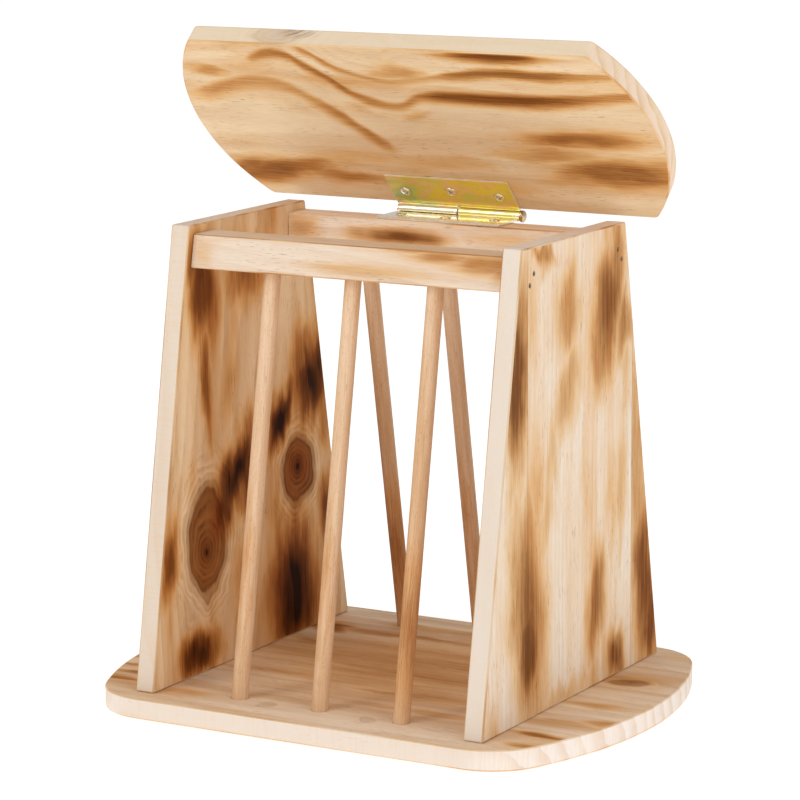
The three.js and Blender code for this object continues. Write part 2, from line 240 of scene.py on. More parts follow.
class MeshMaker:
    """Collects the faces of one mesh, given in millimetres, with a value for each layer on each face."""

    def __init__(self) -> None:
        """Starts an empty mesh."""
        self.bm = bmesh.new()
        self.layers = {layer: self.bm.faces.layers.float.new(layer.value) for layer in Layer}

    def ring(self, points: Sequence[Point3], place: Matrix) -> list[bmesh.types.BMVert]:
        """Adds a ring of vertices.

        Args:
            points: The ring's points.
            place: Matrix, in metres, that the points go through.

        Returns:
            The new vertices.
        """
        return [self.bm.verts.new(place @ (Vector(point) * MM)) for point in points]

    def face(self, verts: Sequence[bmesh.types.BMVert], values: dict[Layer, float]) -> None:
        """Adds one face and sets its values.

        Args:
            verts: The face's corners in order.
            values: What the face keeps for its finish.
        """
        face = self.bm.faces.new(verts)
        for layer, value in values.items():
            face[self.layers[layer]] = value

    def bridge(
        self,
        low: Sequence[bmesh.types.BMVert],
        high: Sequence[bmesh.types.BMVert],
        values: Sequence[dict[Layer, float]],
    ) -> None:
        """Joins two rings of the same length with a band of faces.

        Args:
            low: The first ring.
            high: The ring above it.
            values: The layer values of each face in the band.
        """
        count = len(low)
        for n in range(count):
            after = (n + 1) % count
            self.face([low[n], low[after], high[after], high[n]], values[n])

    def prism(
        self,
        outline: Sequence[Point2],
        low: float,
        high: float,
        ease: float,
        walls: Sequence[dict[Layer, float]],
        caps: dict[Layer, float],
        place: Matrix,
        steps: int = 3,
    ) -> None:
        """Adds a prism whose two faces meet its walls in rounded edges.

        Args:
            outline: Convex outline, counter-clockwise.
            low: Height of the lower face.
            high: Height of the upper face.
            ease: Radius of the rounded edges.
            walls: Layer values of the wall after each outline point.
            caps: Layer values of the two faces.
            place: Matrix, in metres, from the outline's frame.
            steps: Straight runs in each rounded edge.
        """
        levels: list[Point2] = []
        for step in range(steps + 1):
            angle = math.pi / 2 * step / steps
            levels.append((ease * (1 - math.sin(angle)), ease * (1 - math.cos(angle))))
        stack = [(inset, low + rise) for inset, rise in levels]
        stack += [(inset, high - rise) for inset, rise in reversed(levels)]
        rings = [
            self.ring([(x, y, z) for x, y in inset_outline(outline, inset)], place)
            for inset, z in stack
        ]
        soft = [{**wall, Layer.EASED: 1.0} for wall in walls]
        for level in range(len(rings) - 1):
            self.bridge(rings[level], rings[level + 1], walls if level == steps else soft)
        self.face(list(reversed(rings[0])), caps)
        self.face(rings[-1], caps)

    def turned(
        self,
        profile: Sequence[Point2],
        place: Matrix,
        sides: int = 32,
        values: dict[Layer, float] | None = None,
    ) -> None:
        """Adds a closed solid turned about its own Z axis.

        Args:
            profile: Radius and height of each point, from the lowest up, with both ends on the axis.
            place: Matrix, in metres, from the solid's own frame.
            sides: Faces round the axis.
            values: Layer values of all its faces.
        """
        tags = values or {}
        rings: list[list[bmesh.types.BMVert]] = []
        for radius, height in profile[1:-1]:
            circle = [2 * math.pi * n / sides for n in range(sides)]
            points = [(radius * math.cos(a), radius * math.sin(a), height) for a in circle]
            rings.append(self.ring(points, place))
        for low, high in zip(rings, rings[1:]):
            self.bridge(low, high, [tags] * sides)
        foot = self.ring([(0, 0, profile[0][1])], place)[0]
        top = self.ring([(0, 0, profile[-1][1])], place)[0]
        for n in range(sides):
            after = (n + 1) % sides
            self.face([foot, rings[0][after], rings[0][n]], tags)
            self.face([top, rings[-1][n], rings[-1][after]], tags)

    def ease_edges(self, width: float, limit: float) -> None:
        """Rounds every edge that turns by more than an angle.

        Args:
            width: Width of the rounding.
            limit: The angle, in radians.
        """
        sharp = [e for e in self.bm.edges if len(e.link_faces) == 2 and e.calc_face_angle() > limit]
        bmesh.ops.bevel(
            self.bm,
            geom=sharp,
            offset=width * MM,
            segments=2,
            profile=0.6,
            affect="EDGES",
            clamp_overlap=True,
        )

    def mesh(self, name: str) -> bpy.types.Mesh:
        """Closes the work and returns it as a mesh.

        Args:
            name: The mesh's name.

        Returns:
            The finished mesh.
        """
        bmesh.ops.recalc_face_normals(self.bm, faces=self.bm.faces)
        mesh = bpy.data.meshes.new(name)
        self.bm.to_mesh(mesh)
        self.bm.free()
        return mesh


def carved(mesh: bpy.types.Mesh, cutters: MeshMaker) -> bpy.types.Mesh:
    """Cuts holes into a mesh.

    Args:
        mesh: The solid mesh.
        cutters: Closed solids that are taken away from it.

    Returns:
        The mesh with its holes.
    """
    solid = bpy.data.objects.new("blank", mesh)
    tool = bpy.data.objects.new("cutter", cutters.mesh("cutter"))
    for item in (solid, tool):
        bpy.context.scene.collection.objects.link(item)
    modifier = solid.modifiers.new("holes", "BOOLEAN")
    modifier.operation = "DIFFERENCE"
    modifier.solver = "EXACT"
    modifier.object = tool
    bpy.context.view_layer.update()
    evaluated = solid.evaluated_get(bpy.context.evaluated_depsgraph_get())
    result = bpy.data.meshes.new_from_object(evaluated)
    result.name = mesh.name
    tool_mesh = tool.data
    for item in (solid, tool):
        bpy.data.objects.remove(item)
    bpy.data.meshes.remove(tool_mesh)
    return result


def place_piece(
    name: str,
    mesh: bpy.types.Mesh,
    place: Matrix,
    body: Body,
    node: str,
    finish: bpy.types.Material,
) -> bpy.types.Object:
    """Makes one piece of the rack, in place of the CAD node of the same part.

    Args:
        name: The piece's name.
        mesh: Its mesh, in its own frame.
        place: Its place in the row frame, in metres.
        body: The body it moves with.
        node: The CAD node it stands for.
        finish: Its material.

    Returns:
        The new object.
    """
    mesh.materials.clear()
    mesh.materials.append(finish)
    mesh.shade_smooth()
    mesh.set_sharp_from_angle(angle=SHARP_ANGLE)
    piece = bpy.data.objects.new(name, mesh)
    bpy.context.scene.collection.objects.link(piece)
    piece.matrix_world = place
    shading = piece.modifiers.new("flat_faces", "WEIGHTED_NORMAL")
    shading.keep_sharp = True
    shading.weight = FACE_WEIGHT
    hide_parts(node)
    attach(piece, body.value)
    LOG.info("%s: %d faces, rides on %s", name, len(mesh.polygons), body.value)
    return piece


# ---------------------------------------------------------------- finishes


class Graph:
    """Builds the nodes of one material."""

    def __init__(self, name: str, metallic: float, specular: float, coat: float = 0.0) -> None:
        """Starts a material with one shader.

        Args:
            name: The material's name.
            metallic: 1 for metal and 0 for wood.
            specular: Level of the shader's gloss.
            coat: Weight of a clear, smooth film over it.
        """
        self.material = bpy.data.materials.new(name)
        self.material.use_nodes = True
        self.tree = self.material.node_tree
        self.tree.nodes.clear()
        output = self.tree.nodes.new("ShaderNodeOutputMaterial")
        self.shader = self.tree.nodes.new("ShaderNodeBsdfPrincipled")
        self.shader.inputs["Metallic"].default_value = metallic
        self.shader.inputs["Specular IOR Level"].default_value = specular
        self.shader.inputs["Coat Weight"].default_value = coat
        self.shader.inputs["Coat Roughness"].default_value = COAT_ROUGHNESS
        self.tree.links.new(self.shader.outputs["BSDF"], output.inputs["Surface"])
        coordinates = self.tree.nodes.new("ShaderNodeTexCoord").outputs["Object"]
        self.place = self.vector("SCALE", coordinates, scale=1 / MM)

    def put(self, socket: Socket, value: object) -> None:
        """Links a socket to another, or sets its value.

        Args:
            socket: The input to feed.
            value: Another node's output, a colour, a vector or a number.
        """
        if isinstance(value, Socket):
            self.tree.links.new(value, socket)
        elif isinstance(value, tuple) and socket.type == "RGBA":
            socket.default_value = (*value, 1.0)
        else:
            socket.default_value = value

    def math(self, operation: str, *values: object, clamp: bool = False) -> Socket:
        """Adds a math node and returns its result.

        Args:
            operation: The node's operation.
            *values: Its inputs, as outputs or numbers.
            clamp: Whether the result is kept between 0 and 1.

        Returns:
            The result.
        """
        node = self.tree.nodes.new("ShaderNodeMath")
        node.operation = operation
        node.use_clamp = clamp
        for socket, value in zip(node.inputs, values):
            self.put(socket, value)
        return node.outputs[0]

    def vector(self, operation: str, *values: object, scale: float = 1.0) -> Socket:
        """Adds a vector math node and returns its result.

        Args:
            operation: The node's operation.
            *values: Its inputs, as outputs or vectors.
            scale: Factor for the SCALE operation.

        Returns:
            The vector, or its length.
        """
        node = self.tree.nodes.new("ShaderNodeVectorMath")
        node.operation = operation
        for socket, value in zip(node.inputs, values):
            self.put(socket, value)
        if operation == "SCALE":
            node.inputs["Scale"].default_value = scale
        return node.outputs["Value" if operation == "LENGTH" else "Vector"]

    def parts(self, vector: Socket) -> tuple[Socket, ...]:
        """Splits a vector into its three numbers.

        Args:
            vector: The vector to split.

        Returns:
            Its three numbers.
        """
        node = self.tree.nodes.new("ShaderNodeSeparateXYZ")
        self.put(node.inputs[0], vector)
        return tuple(node.outputs)

    def joined(self, *values: object) -> Socket:
        """Makes a vector from three numbers.

        Args:
            *values: The three numbers, as outputs or numbers.

        Returns:
            The vector.
        """
        node = self.tree.nodes.new("ShaderNodeCombineXYZ")
        for socket, value in zip(node.inputs, values):
            self.put(socket, value)
        return node.outputs[0]

    def swayed(self, grain: Point3, seed: float, reach: Point3) -> Socket:
        """Moves the coordinates about by a smooth noise, up to half of reach each way.

        Args:
            grain: Size of the noise's blotches.
            seed: Number that sets one noise apart from another.
            reach: Widest range of the moves along each axis.

        Returns:
            The moved coordinates.
        """
        drift = self.noise(grain, seed, 2.0, colour=True)
        drift = self.vector("MULTIPLY", self.vector("SUBTRACT", drift, (0.5, 0.5, 0.5)), reach)
        return self.vector("ADD", self.place, drift)

    def noise(
        self,
        grain: Point3,
        seed: float,
        detail: float = 2.0,
        roughness: float = 0.5,
        vector: Socket | None = None,
        colour: bool = False,
    ) -> Socket:
        """Adds smooth noise.

        Args:
            grain: Size of its blotches along, across and through the piece.
            seed: Number that sets one noise apart from another.
            detail: How many finer noises it holds.
            roughness: How strong those are.
            vector: Coordinates to use in place of the piece's own.
            colour: Whether three noises come back as a colour.

        Returns:
            The noise, from 0 to 1.
        """
        mapping = self.tree.nodes.new("ShaderNodeMapping")
        mapping.vector_type = "POINT"
        mapping.inputs["Location"].default_value = (seed * 3.17, seed * 7.31, seed * 5.83)
        mapping.inputs["Scale"].default_value = tuple(1 / size for size in grain)
        self.put(mapping.inputs["Vector"], vector or self.place)
        node = self.tree.nodes.new("ShaderNodeTexNoise")
        node.inputs["Scale"].default_value = 1.0
        node.inputs["Detail"].default_value = detail
        node.inputs["Roughness"].default_value = roughness
        self.put(node.inputs["Vector"], mapping.outputs["Vector"])
        return node.outputs[1 if colour else 0]

    def away(self, vector: Socket, centre: Point3, size: Point3, lean: float = 0.0) -> Socket:
        """Distance from a point, in an ellipsoid's own sizes.

        Args:
            vector: Where to measure.
            centre: The ellipsoid's centre.
            size: Its three half sizes.
            lean: Its turn in the board's plane, in degrees.

        Returns:
            0 at the centre and 1 on its skin.
        """
        mapping = self.tree.nodes.new("ShaderNodeMapping")
        mapping.vector_type = "TEXTURE"
        mapping.inputs["Location"].default_value = centre
        mapping.inputs["Rotation"].default_value = (0, 0, math.radians(lean))
        mapping.inputs["Scale"].default_value = size
        self.put(mapping.inputs["Vector"], vector)
        return self.vector("LENGTH", mapping.outputs["Vector"])

    def smooth(
        self, value: Socket, start: float, end: float, low: float = 0.0, high: float = 1.0
    ) -> Socket:
        """Turns a value smoothly from low at start to high at end.

        Args:
            value: The value to turn.
            start: Value that gives low.
            end: Value that gives high.
            low: The result at the start.
            high: The result at the end.

        Returns:
            The turned value.
        """
        node = self.tree.nodes.new("ShaderNodeMapRange")
        node.interpolation_type = "SMOOTHSTEP"
        if start > end:
            start, end, low, high = end, start, high, low
        for name, number in zip(("From Min", "From Max", "To Min", "To Max"), (start, end, low, high)):
            node.inputs[name].default_value = number
        self.put(node.inputs["Value"], value)
        return node.outputs["Result"]

    def mix(self, share: object, first: object, second: object, blend: str = "MIX") -> Socket:
        """Mixes two colours.

        Args:
            share: How much of the second shows.
            first: The colour at 0.
            second: The colour at 1.
            blend: How they are mixed.

        Returns:
            The mixed colour.
        """
        node = self.tree.nodes.new("ShaderNodeMix")
        node.data_type = "RGBA"
        node.blend_type = blend
        self.put(node.inputs[0], share)
        self.put(node.inputs[6], first)
        self.put(node.inputs[7], second)
        return node.outputs[2]

    def ramp(self, value: Socket, stops: Sequence[tuple[float, Colour]]) -> Socket:
        """Turns a value into a colour through a few stops.

        Args:
            value: Where to read the ramp.
            stops: Position and colour of each stop.

        Returns:
            The colour.
        """
        node = self.tree.nodes.new("ShaderNodeValToRGB")
        node.color_ramp.interpolation = "LINEAR"
        elements = node.color_ramp.elements
        while len(elements) < len(stops):
            elements.new(0.5)
        for element, (position, colour) in zip(elements, stops):
            element.position = position
            element.color = (*colour, 1.0)
        self.put(node.inputs[0], value)
        return node.outputs[0]

    def curve(self, value: Socket, points: Sequence[Point2], reach: Point2, span: Point2) -> Socket:
        """Follows a smooth line through a few points.

        Args:
            value: Where to read the line.
            points: The points it passes through.
            reach: Lowest and highest value along the line.
            span: Lowest and highest height of the line.

        Returns:
            The line's height.
        """
        node = self.tree.nodes.new("ShaderNodeFloatCurve")
        line = node.mapping.curves[0]
        length = reach[1] - reach[0]
        height = span[1] - span[0]
        shares = [((x - reach[0]) / length, (y - span[0]) / height) for x, y in points]
        line.points[0].location = shares[0]
        line.points[1].location = shares[-1]
        for share in shares[1:-1]:
            line.points.new(*share)
        node.mapping.update()
        along = self.math("DIVIDE", self.math("SUBTRACT", value, reach[0]), length, clamp=True)
        self.put(node.inputs["Value"], along)
        return self.math("MULTIPLY_ADD", node.outputs[0], height, span[0])

    def layer(self, layer: Layer) -> Socket:
        """Reads a value that the mesh keeps on its faces.

        Args:
            layer: The value's name on the mesh.

        Returns:
            The value.
        """
        node = self.tree.nodes.new("ShaderNodeAttribute")
        node.attribute_name = layer.value
        return node.outputs["Fac"]

    def bump(self, height: Socket, depth: float, strength: float) -> None:
        """Gives the shader a relief of the given depth.

        Args:
            height: The relief, from 0 to 1.
            depth: Height of its tops over its pits.
            strength: How much of it shows.
        """
        node = self.tree.nodes.new("ShaderNodeBump")
        node.inputs["Strength"].default_value = strength
        node.inputs["Distance"].default_value = depth * MM
        self.put(node.inputs["Height"], height)
        self.put(self.shader.inputs["Normal"], node.outputs["Normal"])

    def done(self, colour: Socket, roughness: Socket) -> bpy.types.Material:
        """Sets the colour and roughness and returns the material.

        Args:
            colour: The base colour.
            roughness: The surface's roughness.

        Returns:
            The finished material.
        """
        self.put(self.shader.inputs["Base Color"], colour)
        self.put(self.shader.inputs["Roughness"], roughness)
        return self.material


@dataclass(frozen=True)
class DarkPatch:
    """One dark patch: its centre, half sizes, depth of colour, lean and stave. Most are browning by the
    flame; the broad one over the inside of the base is painted shade.
    """

    at: Point3
    size: Point3
    strength: float
    lean: float = 0.0
    within: Point2 = ANY_STAVE


def face_patches(
    face: float, rows: Sequence[tuple[float, ...]], within: Point2 = ANY_STAVE
) -> tuple[DarkPatch, ...]:
    """Lays dark patches on one face of a board: browning by the flame and, on the base, one broad painted
    shade.

    Args:
        face: The face's height in the board's own frame.
        rows: Each patch's middle along and across, half length, half width, depth of colour and lean.
        within: The edges of the stave that they stay on.

    Returns:
        The patches.
    """
    return tuple(
        DarkPatch((x, y, face), (half_length, half_width, PATCH_DEPTH), strength, lean, within)
        for x, y, half_length, half_width, strength, lean in rows
    )


@dataclass(frozen=True)
class Knot:
    """One knot: its core, half sizes, ring count, darkness, lean, and its oval's shift off the core."""

    at: Point3
    size: Point3
    rings: float
    strength: float
    lean: float = 0.0
    aside: Point2 = (0.0, 0.0)


@dataclass(frozen=True)
class Streak:
    """A brown band that wanders along the grain: its line, depth of colour, half width and face."""

    line: tuple[Point2, ...]
    depth: tuple[Point2, ...]
    width: float
    face: float


@dataclass(frozen=True)
class FlamedPine:
    """Pine that a flame has browned in patches, with growth rings, knots, fibres and pale sawn edges; its
    list of patches also carries the base's broad painted shade.
    """

    name: str
    seed: float
    pith: Point2
    spacing: float
    tilt: float = 0.05
    wander: float = 5.0
    pale: Colour = (0.80, 0.59, 0.385)
    honey: Colour = (0.70, 0.435, 0.215)
    late: Colour = (0.50, 0.255, 0.095)
    thread_brown: Colour = (0.42, 0.22, 0.09)
    fleck_brown: Colour = (0.30, 0.13, 0.05)
    knot_ring: Colour = (0.095, 0.028, 0.006)
    bark_brown: Colour = (0.17, 0.08, 0.035)
    glue: Colour = (0.25, 0.12, 0.05)
    sawn: Colour = (0.70, 0.605, 0.51)
    end_wood: Colour = (0.72, 0.625, 0.55)
    end_rings: float = 0.2
    late_share: float = 0.42
    toast: float = 0.3
    edge_char: float = 0.42
    figure: tuple[Point2, ...] = ()
    knots: tuple[Knot, ...] = ()
    dark_patches: tuple[DarkPatch, ...] = ()
    streaks: tuple[Streak, ...] = ()
    seams: tuple[float, ...] = ()
    bark: tuple[tuple[Point3, Point3], ...] = ()

    def rings(self, g: Graph) -> tuple[Socket, Socket]:
        """Adds the growth rings, which run round the knots.

        Args:
            g: The material's nodes.

        Returns:
            The share of dark latewood, and which stave of the board a point is in.
        """
        x, y, z = g.parts(g.place)
        across = y
        for knot in self.knots:
            distance = g.away(g.place, knot.at, tuple(1.15 * s for s in knot.size), knot.lean)
            share = g.math("DIVIDE", 1.0, g.math("MULTIPLY_ADD", distance, distance, 1.0))
            push = g.math("MULTIPLY", g.math("SUBTRACT", y, knot.at[1]), share)
            across = g.math("SUBTRACT", across, push)
        if self.figure:
            line = g.curve(x, self.figure, BOARD_REACH, BOARD_SPAN)
            across = g.math("SUBTRACT", across, g.math("MULTIPLY", line, g.smooth(y, 25, -35)))
        stave = g.math("MULTIPLY", 0.0, x)
        for seam in self.seams:
            stave = g.math("ADD", stave, g.math("GREATER_THAN", y, seam))
        side = g.math("ADD", g.math("SUBTRACT", across, self.pith[0]), g.math("MULTIPLY", stave, 23.7))
        depth = g.math("ADD", g.math("SUBTRACT", z, self.pith[1]), g.math("MULTIPLY", x, self.tilt))
        squares = g.math("ADD", g.math("MULTIPLY", side, side), g.math("MULTIPLY", depth, depth))
        radius = g.math("SQRT", squares)
        drift = g.noise((170, 42, 42), self.seed, 1.5)
        shiver = g.noise((26, 6, 6), self.seed + 1, 1.0)
        radius = g.math("MULTIPLY_ADD", drift, 2 * self.wander, radius)
        radius = g.math("MULTIPLY_ADD", shiver, 0.35 * self.spacing, radius)
        turn = g.math("FRACT", g.math("DIVIDE", radius, self.spacing))
        rise = g.smooth(turn, 0.2, 0.9)
        late = g.math("MULTIPLY", rise, g.smooth(turn, 1.0, 0.93))
        return late, stave

    def darkening(self, g: Graph, fibre: Socket, late: Socket) -> Socket:
        """Adds the browned patches, which fray along the fibres and take less on latewood, together with
        any painted shade in the list, such as the broad one over the inside of the base.

        Args:
            g: The material's nodes.
            fibre: The fibre noise.
            late: The share of latewood.

        Returns:
            How deep the browning and painted shade are, from 0 to 1.
        """
        place = g.swayed((30, 11, 20), self.seed + 2, (34, 12, 0))
        true_x, true_y, true_z = g.parts(g.place)
        haze = g.noise((75, 20, 12), self.seed + 3, 2.0)
        depth = g.smooth(haze, 0.5, 0.78, 0.0, self.toast)
        for one_patch in self.dark_patches:
            away = g.away(place, one_patch.at, one_patch.size, one_patch.lean)
            patch = g.math("POWER", g.smooth(away, 1.9, 0.15), 1.7)
            patch = g.math("MULTIPLY", patch, one_patch.strength)
            if one_patch.within[0] > ANY_STAVE[0]:
                patch = g.math("MULTIPLY", patch, g.math("GREATER_THAN", true_y, one_patch.within[0]))
            if one_patch.within[1] < ANY_STAVE[1]:
                patch = g.math("MULTIPLY", patch, g.math("LESS_THAN", true_y, one_patch.within[1]))
            depth = g.math("MAXIMUM", depth, patch)
        flow = g.math("MULTIPLY_ADD", g.noise((30, 9, 9), self.seed + 4, 1.0), 4.0, -2.0)
        for streak in self.streaks:
            line = g.curve(true_x, streak.line, BOARD_REACH, BOARD_SPAN)
            strength = g.curve(true_x, streak.depth, BOARD_REACH, (0, 1))
            beside = g.math("SUBTRACT", g.math("ADD", true_y, flow), line)
            gap = g.math("MAXIMUM", g.math("MULTIPLY", beside, 0.7), g.math("MULTIPLY", beside, -1.35))
            width = g.math("MULTIPLY_ADD", strength, streak.width, 0.35 * streak.width)
            near = g.smooth(g.math("DIVIDE", gap, width), 1.0, 0.05)
            off = g.math("ABSOLUTE", g.math("SUBTRACT", true_z, streak.face))
            on_face = g.math("LESS_THAN", off, STREAK_DEPTH)
            band = g.math("MULTIPLY", g.math("MULTIPLY", near, strength), on_face)
            depth = g.math("MAXIMUM", depth, band)
        fray = g.math("MULTIPLY_ADD", fibre, 1.3, -0.65)
        fray = g.math("MULTIPLY", fray, g.math("SUBTRACT", 1.05, depth))
        fray = g.math("ADD", fray, g.math("MULTIPLY_ADD", late, -0.12, 1.05))
        depth = g.math("MULTIPLY", depth, fray)
        edge = g.math("MULTIPLY", g.layer(Layer.EASED), g.smooth(haze, 0.4, 0.66, 0.12, self.edge_char))
        kept = g.math("SUBTRACT", 1.0, g.layer(Layer.SAWN))
        return g.math("MAXIMUM", g.math("MULTIPLY", depth, kept), edge, clamp=True)

    def knotted(self, g: Graph, colour: Socket) -> Socket:
        """Paints the knots over the plain wood.

        Args:
            g: The material's nodes.
            colour: The wood's colour.

        Returns:
            The colour with its knots.
        """
        bent = g.swayed((26, 16, 14), self.seed + 6, (13, 8, 0))
        wobble = g.math("MULTIPLY_ADD", g.noise((12, 9, 10), self.seed + 16, 1.0), 0.26, 0.87)
        for knot in self.knots:
            middle = (knot.at[0] + knot.aside[0], knot.at[1] + knot.aside[1], knot.at[2])
            outer = g.away(bent, middle, knot.size, knot.lean)
            inner = g.away(g.place, knot.at, knot.size, knot.lean)
            share = g.smooth(outer, 0.15, 0.95)
            away = g.math("ADD", inner, g.math("MULTIPLY", share, g.math("SUBTRACT", outer, inner)))
            away = g.math("MULTIPLY", away, wobble)
            turn = g.math("FRACT", g.math("MULTIPLY", g.math("POWER", away, 0.85), knot.rings))
            ring = g.math("MULTIPLY", g.smooth(turn, 0.1, 0.75), g.smooth(turn, 1.0, 0.85))
            worn = g.smooth(g.noise((9, 7, 7), self.seed + 15), 0.3, 0.7, 0.15, 0.75)
            patchy = g.math("MULTIPLY", ring, worn)
            heart = g.ramp(away, KNOT_TINTS)
            heart = g.mix(g.math("MULTIPLY", patchy, 0.85), heart, self.knot_ring)
            halo = g.smooth(away, 1.75, 1.3, 0.0, 0.5 * knot.strength)
            halo = g.math("MULTIPLY", g.smooth(away, 1.0, 1.2), halo)
            colour = g.mix(halo, colour, self.pale)
            swirl = g.math("MULTIPLY", patchy, 0.75 * knot.strength)
            swirl = g.math("MULTIPLY", g.smooth(away, 2.0, 1.15), swirl)
            colour = g.mix(swirl, colour, self.late)
            colour = g.mix(g.smooth(away, 1.26, 0.8, 0.0, knot.strength), colour, heart)
        return colour

    def heartwood(self, g: Graph, fibre: Socket, late: Socket, stave: Socket) -> Socket:
        """Colours the planed wood: each stave's tone, its growth rings and its fine fibres.

        Args:
            g: The material's nodes.
            fibre: The fibre noise.
            late: The share of latewood.
            stave: Which stave of the board a point is in.

        Returns:
            The plain wood's colour.
        """
        tone = g.smooth(g.noise((190, 16, 14), self.seed + 9, 2.0), 0.3, 0.72)
        own = g.math("FRACT", g.math("MULTIPLY", stave, 0.37))
        tone = g.math("ADD", tone, g.math("MULTIPLY_ADD", own, 0.5, -0.1))
        colour = g.mix(g.math("MULTIPLY", tone, 1.0, clamp=True), self.pale, self.honey)
        share = g.math("MULTIPLY", late, g.math("MULTIPLY_ADD", fibre, 1.1, -0.05))
        vary = g.smooth(g.noise((210, 15, 15), self.seed + 12, 1.0), 0.3, 0.7, 0.35, 1.25)
        endwise = g.math("MULTIPLY", vary, self.late_share)
        return g.mix(g.math("MULTIPLY", share, endwise, clamp=True), colour, self.late)

    def sawn_faces(self, g: Graph, late: Socket, colour: Socket) -> Socket:
        """Bleaches the sawn edges and the end grain, and marks them with the saw's strokes.

        Args:
            g: The material's nodes.
            late: The share of latewood.
            colour: The planed wood's colour.

        Returns:
            The colour of planed and sawn wood together.
        """
        end = g.layer(Layer.END_GRAIN)
        sawn = g.layer(Layer.SAWN)
        stripe = g.math("MULTIPLY", late, g.math("MULTIPLY_ADD", end, self.end_rings, 0.1))
        bleach = g.math("MULTIPLY", sawn, g.math("SUBTRACT", 0.86, stripe))
        colour = g.mix(bleach, colour, g.mix(end, self.sawn, self.end_wood))
        kerf = g.smooth(g.noise((0.8, 0.8, 14), self.seed + 14, 2.0), 0.45, 0.75)
        return g.mix(g.math("MULTIPLY", g.math("MULTIPLY", kerf, sawn), 0.22), colour, self.honey)

    def flecks(self, g: Graph) -> Socket:
        """Adds the short dark resin flecks, which gather in some places and are few on sawn faces.

        Args:
            g: The material's nodes.

        Returns:
            How strongly a point is flecked.
        """
        fleck = g.smooth(g.noise((6.5, 0.42, 0.42), self.seed + 10, 1.0), 0.65, 0.72)
        crowd = g.smooth(g.noise((36, 11, 11), self.seed + 11), 0.4, 0.6, 0.08, 0.6)
        fleck = g.math("MULTIPLY", fleck, crowd)
        return g.math("MULTIPLY", fleck, g.math("MULTIPLY_ADD", g.layer(Layer.SAWN), -0.75, 1.0))

    def flaws(self, g: Graph, colour: Socket) -> Socket:
        """Adds torn bark along an edge and the glue lines between staves.

        Args:
            g: The material's nodes.
            colour: The wood's colour.

        Returns:
            The colour with its flaws.
        """
        x, y, z = g.parts(g.place)
        for centre, size in self.bark:
            fan = g.math("MULTIPLY_ADD", g.math("SUBTRACT", x, centre[0]), 0.09, -1.9)
            slant = g.math("MULTIPLY_ADD", g.math("SUBTRACT", z, centre[2]), fan, x)
            strand = g.noise((0.7, 30, 16), self.seed + 13, 1.5, vector=g.joined(slant, y, z))
            inside = g.smooth(g.away(g.place, centre, size), 1.0, 0.2)
            torn = g.math("MULTIPLY", g.smooth(strand, 0.34, 0.72), inside)
            colour = g.mix(g.math("MULTIPLY", torn, 0.85), colour, self.bark_brown)
        for seam in self.seams:
            gap = g.math("ABSOLUTE", g.math("SUBTRACT", y, seam))
            colour = g.mix(g.smooth(gap, 0.4, 0.1, 0.0, 0.4), colour, self.glue)
        return colour

    def material(self) -> bpy.types.Material:
        """Builds the material from the plain wood out: rings, sawn faces, flecks, knots, then the browned
        patches with any painted shade.
        """
        g = Graph(self.name, 0.0, 0.03)
        late, stave = self.rings(g)
        fibre = g.noise((24, 0.8, 0.8), self.seed + 7, 3.0, 0.6)
        thread = g.noise((7, 0.3, 0.3), self.seed + 8, 2.0)
        colour = self.heartwood(g, fibre, late, stave)
        colour = g.mix(g.smooth(thread, 0.36, 0.7, 0.0, 0.16), colour, self.thread_brown)
        colour = self.sawn_faces(g, late, colour)
        fleck = self.flecks(g)
        colour = g.mix(fleck, colour, self.fleck_brown)
        colour = self.flaws(g, self.knotted(g, colour))
        # Flame browning and painted shade darken the wood through one ramp.
        darkening = self.darkening(g, fibre, late)
        colour = g.mix(1.0, colour, g.ramp(darkening, DARKENING_TINTS), "MULTIPLY")
        height = g.math("MULTIPLY_ADD", late, 0.5, g.math("MULTIPLY_ADD", thread, 0.5, fibre))
        g.bump(g.math("SUBTRACT", height, g.math("MULTIPLY", fleck, 1.2)), 0.05, 0.75)
        rough = g.math("MULTIPLY_ADD", fibre, 0.16, 0.48)
        return g.done(colour, g.math("MULTIPLY_ADD", darkening, 0.1, rough))


@dataclass(frozen=True)
class Beech:
    """Turned beech, with short flecks along the grain."""

    name: str
    seed: float
    burnt: tuple[DarkPatch, ...] = ()
    pale: Colour = (0.765, 0.535, 0.355)
    warm: Colour = (0.67, 0.42, 0.235)
    fibre_brown: Colour = (0.46, 0.235, 0.10)
    fleck_brown: Colour = (0.34, 0.16, 0.065)

    def material(self) -> bpy.types.Material:
        """Builds the material."""
        g = Graph(self.name, 0.0, 0.06)
        tone = g.noise((60, 5, 5), self.seed, 3.0)
        colour = g.mix(g.smooth(tone, 0.32, 0.68), self.pale, self.warm)
        fibre = g.noise((14, 0.5, 0.5), self.seed + 1, 3.0, 0.6)
        colour = g.mix(g.smooth(fibre, 0.4, 0.75, 0.0, 0.4), colour, self.fibre_brown)
        fleck = g.smooth(g.noise((2.2, 0.32, 0.32), self.seed + 2, 1.0), 0.64, 0.72)
        colour = g.mix(g.math("MULTIPLY", fleck, 0.45), colour, self.fleck_brown)
        haze = g.smooth(g.noise((45, 8, 8), self.seed + 3, 2.0), 0.5, 0.8, 0.0, 0.3)
        for one_patch in self.burnt:
            patch = g.smooth(g.away(g.place, one_patch.at, one_patch.size), 1.0, 0.1, 0.0, one_patch.strength)
            haze = g.math("MAXIMUM", haze, patch)
        haze = g.math("MULTIPLY", haze, g.math("MULTIPLY_ADD", fibre, 0.9, 0.5), clamp=True)
        colour = g.mix(1.0, colour, g.ramp(haze, SINGE_TINTS), "MULTIPLY")
        g.bump(g.math("SUBTRACT", fibre, fleck), 0.03, 0.7)
        return g.done(colour, g.math("MULTIPLY_ADD", fibre, 0.15, 0.42))


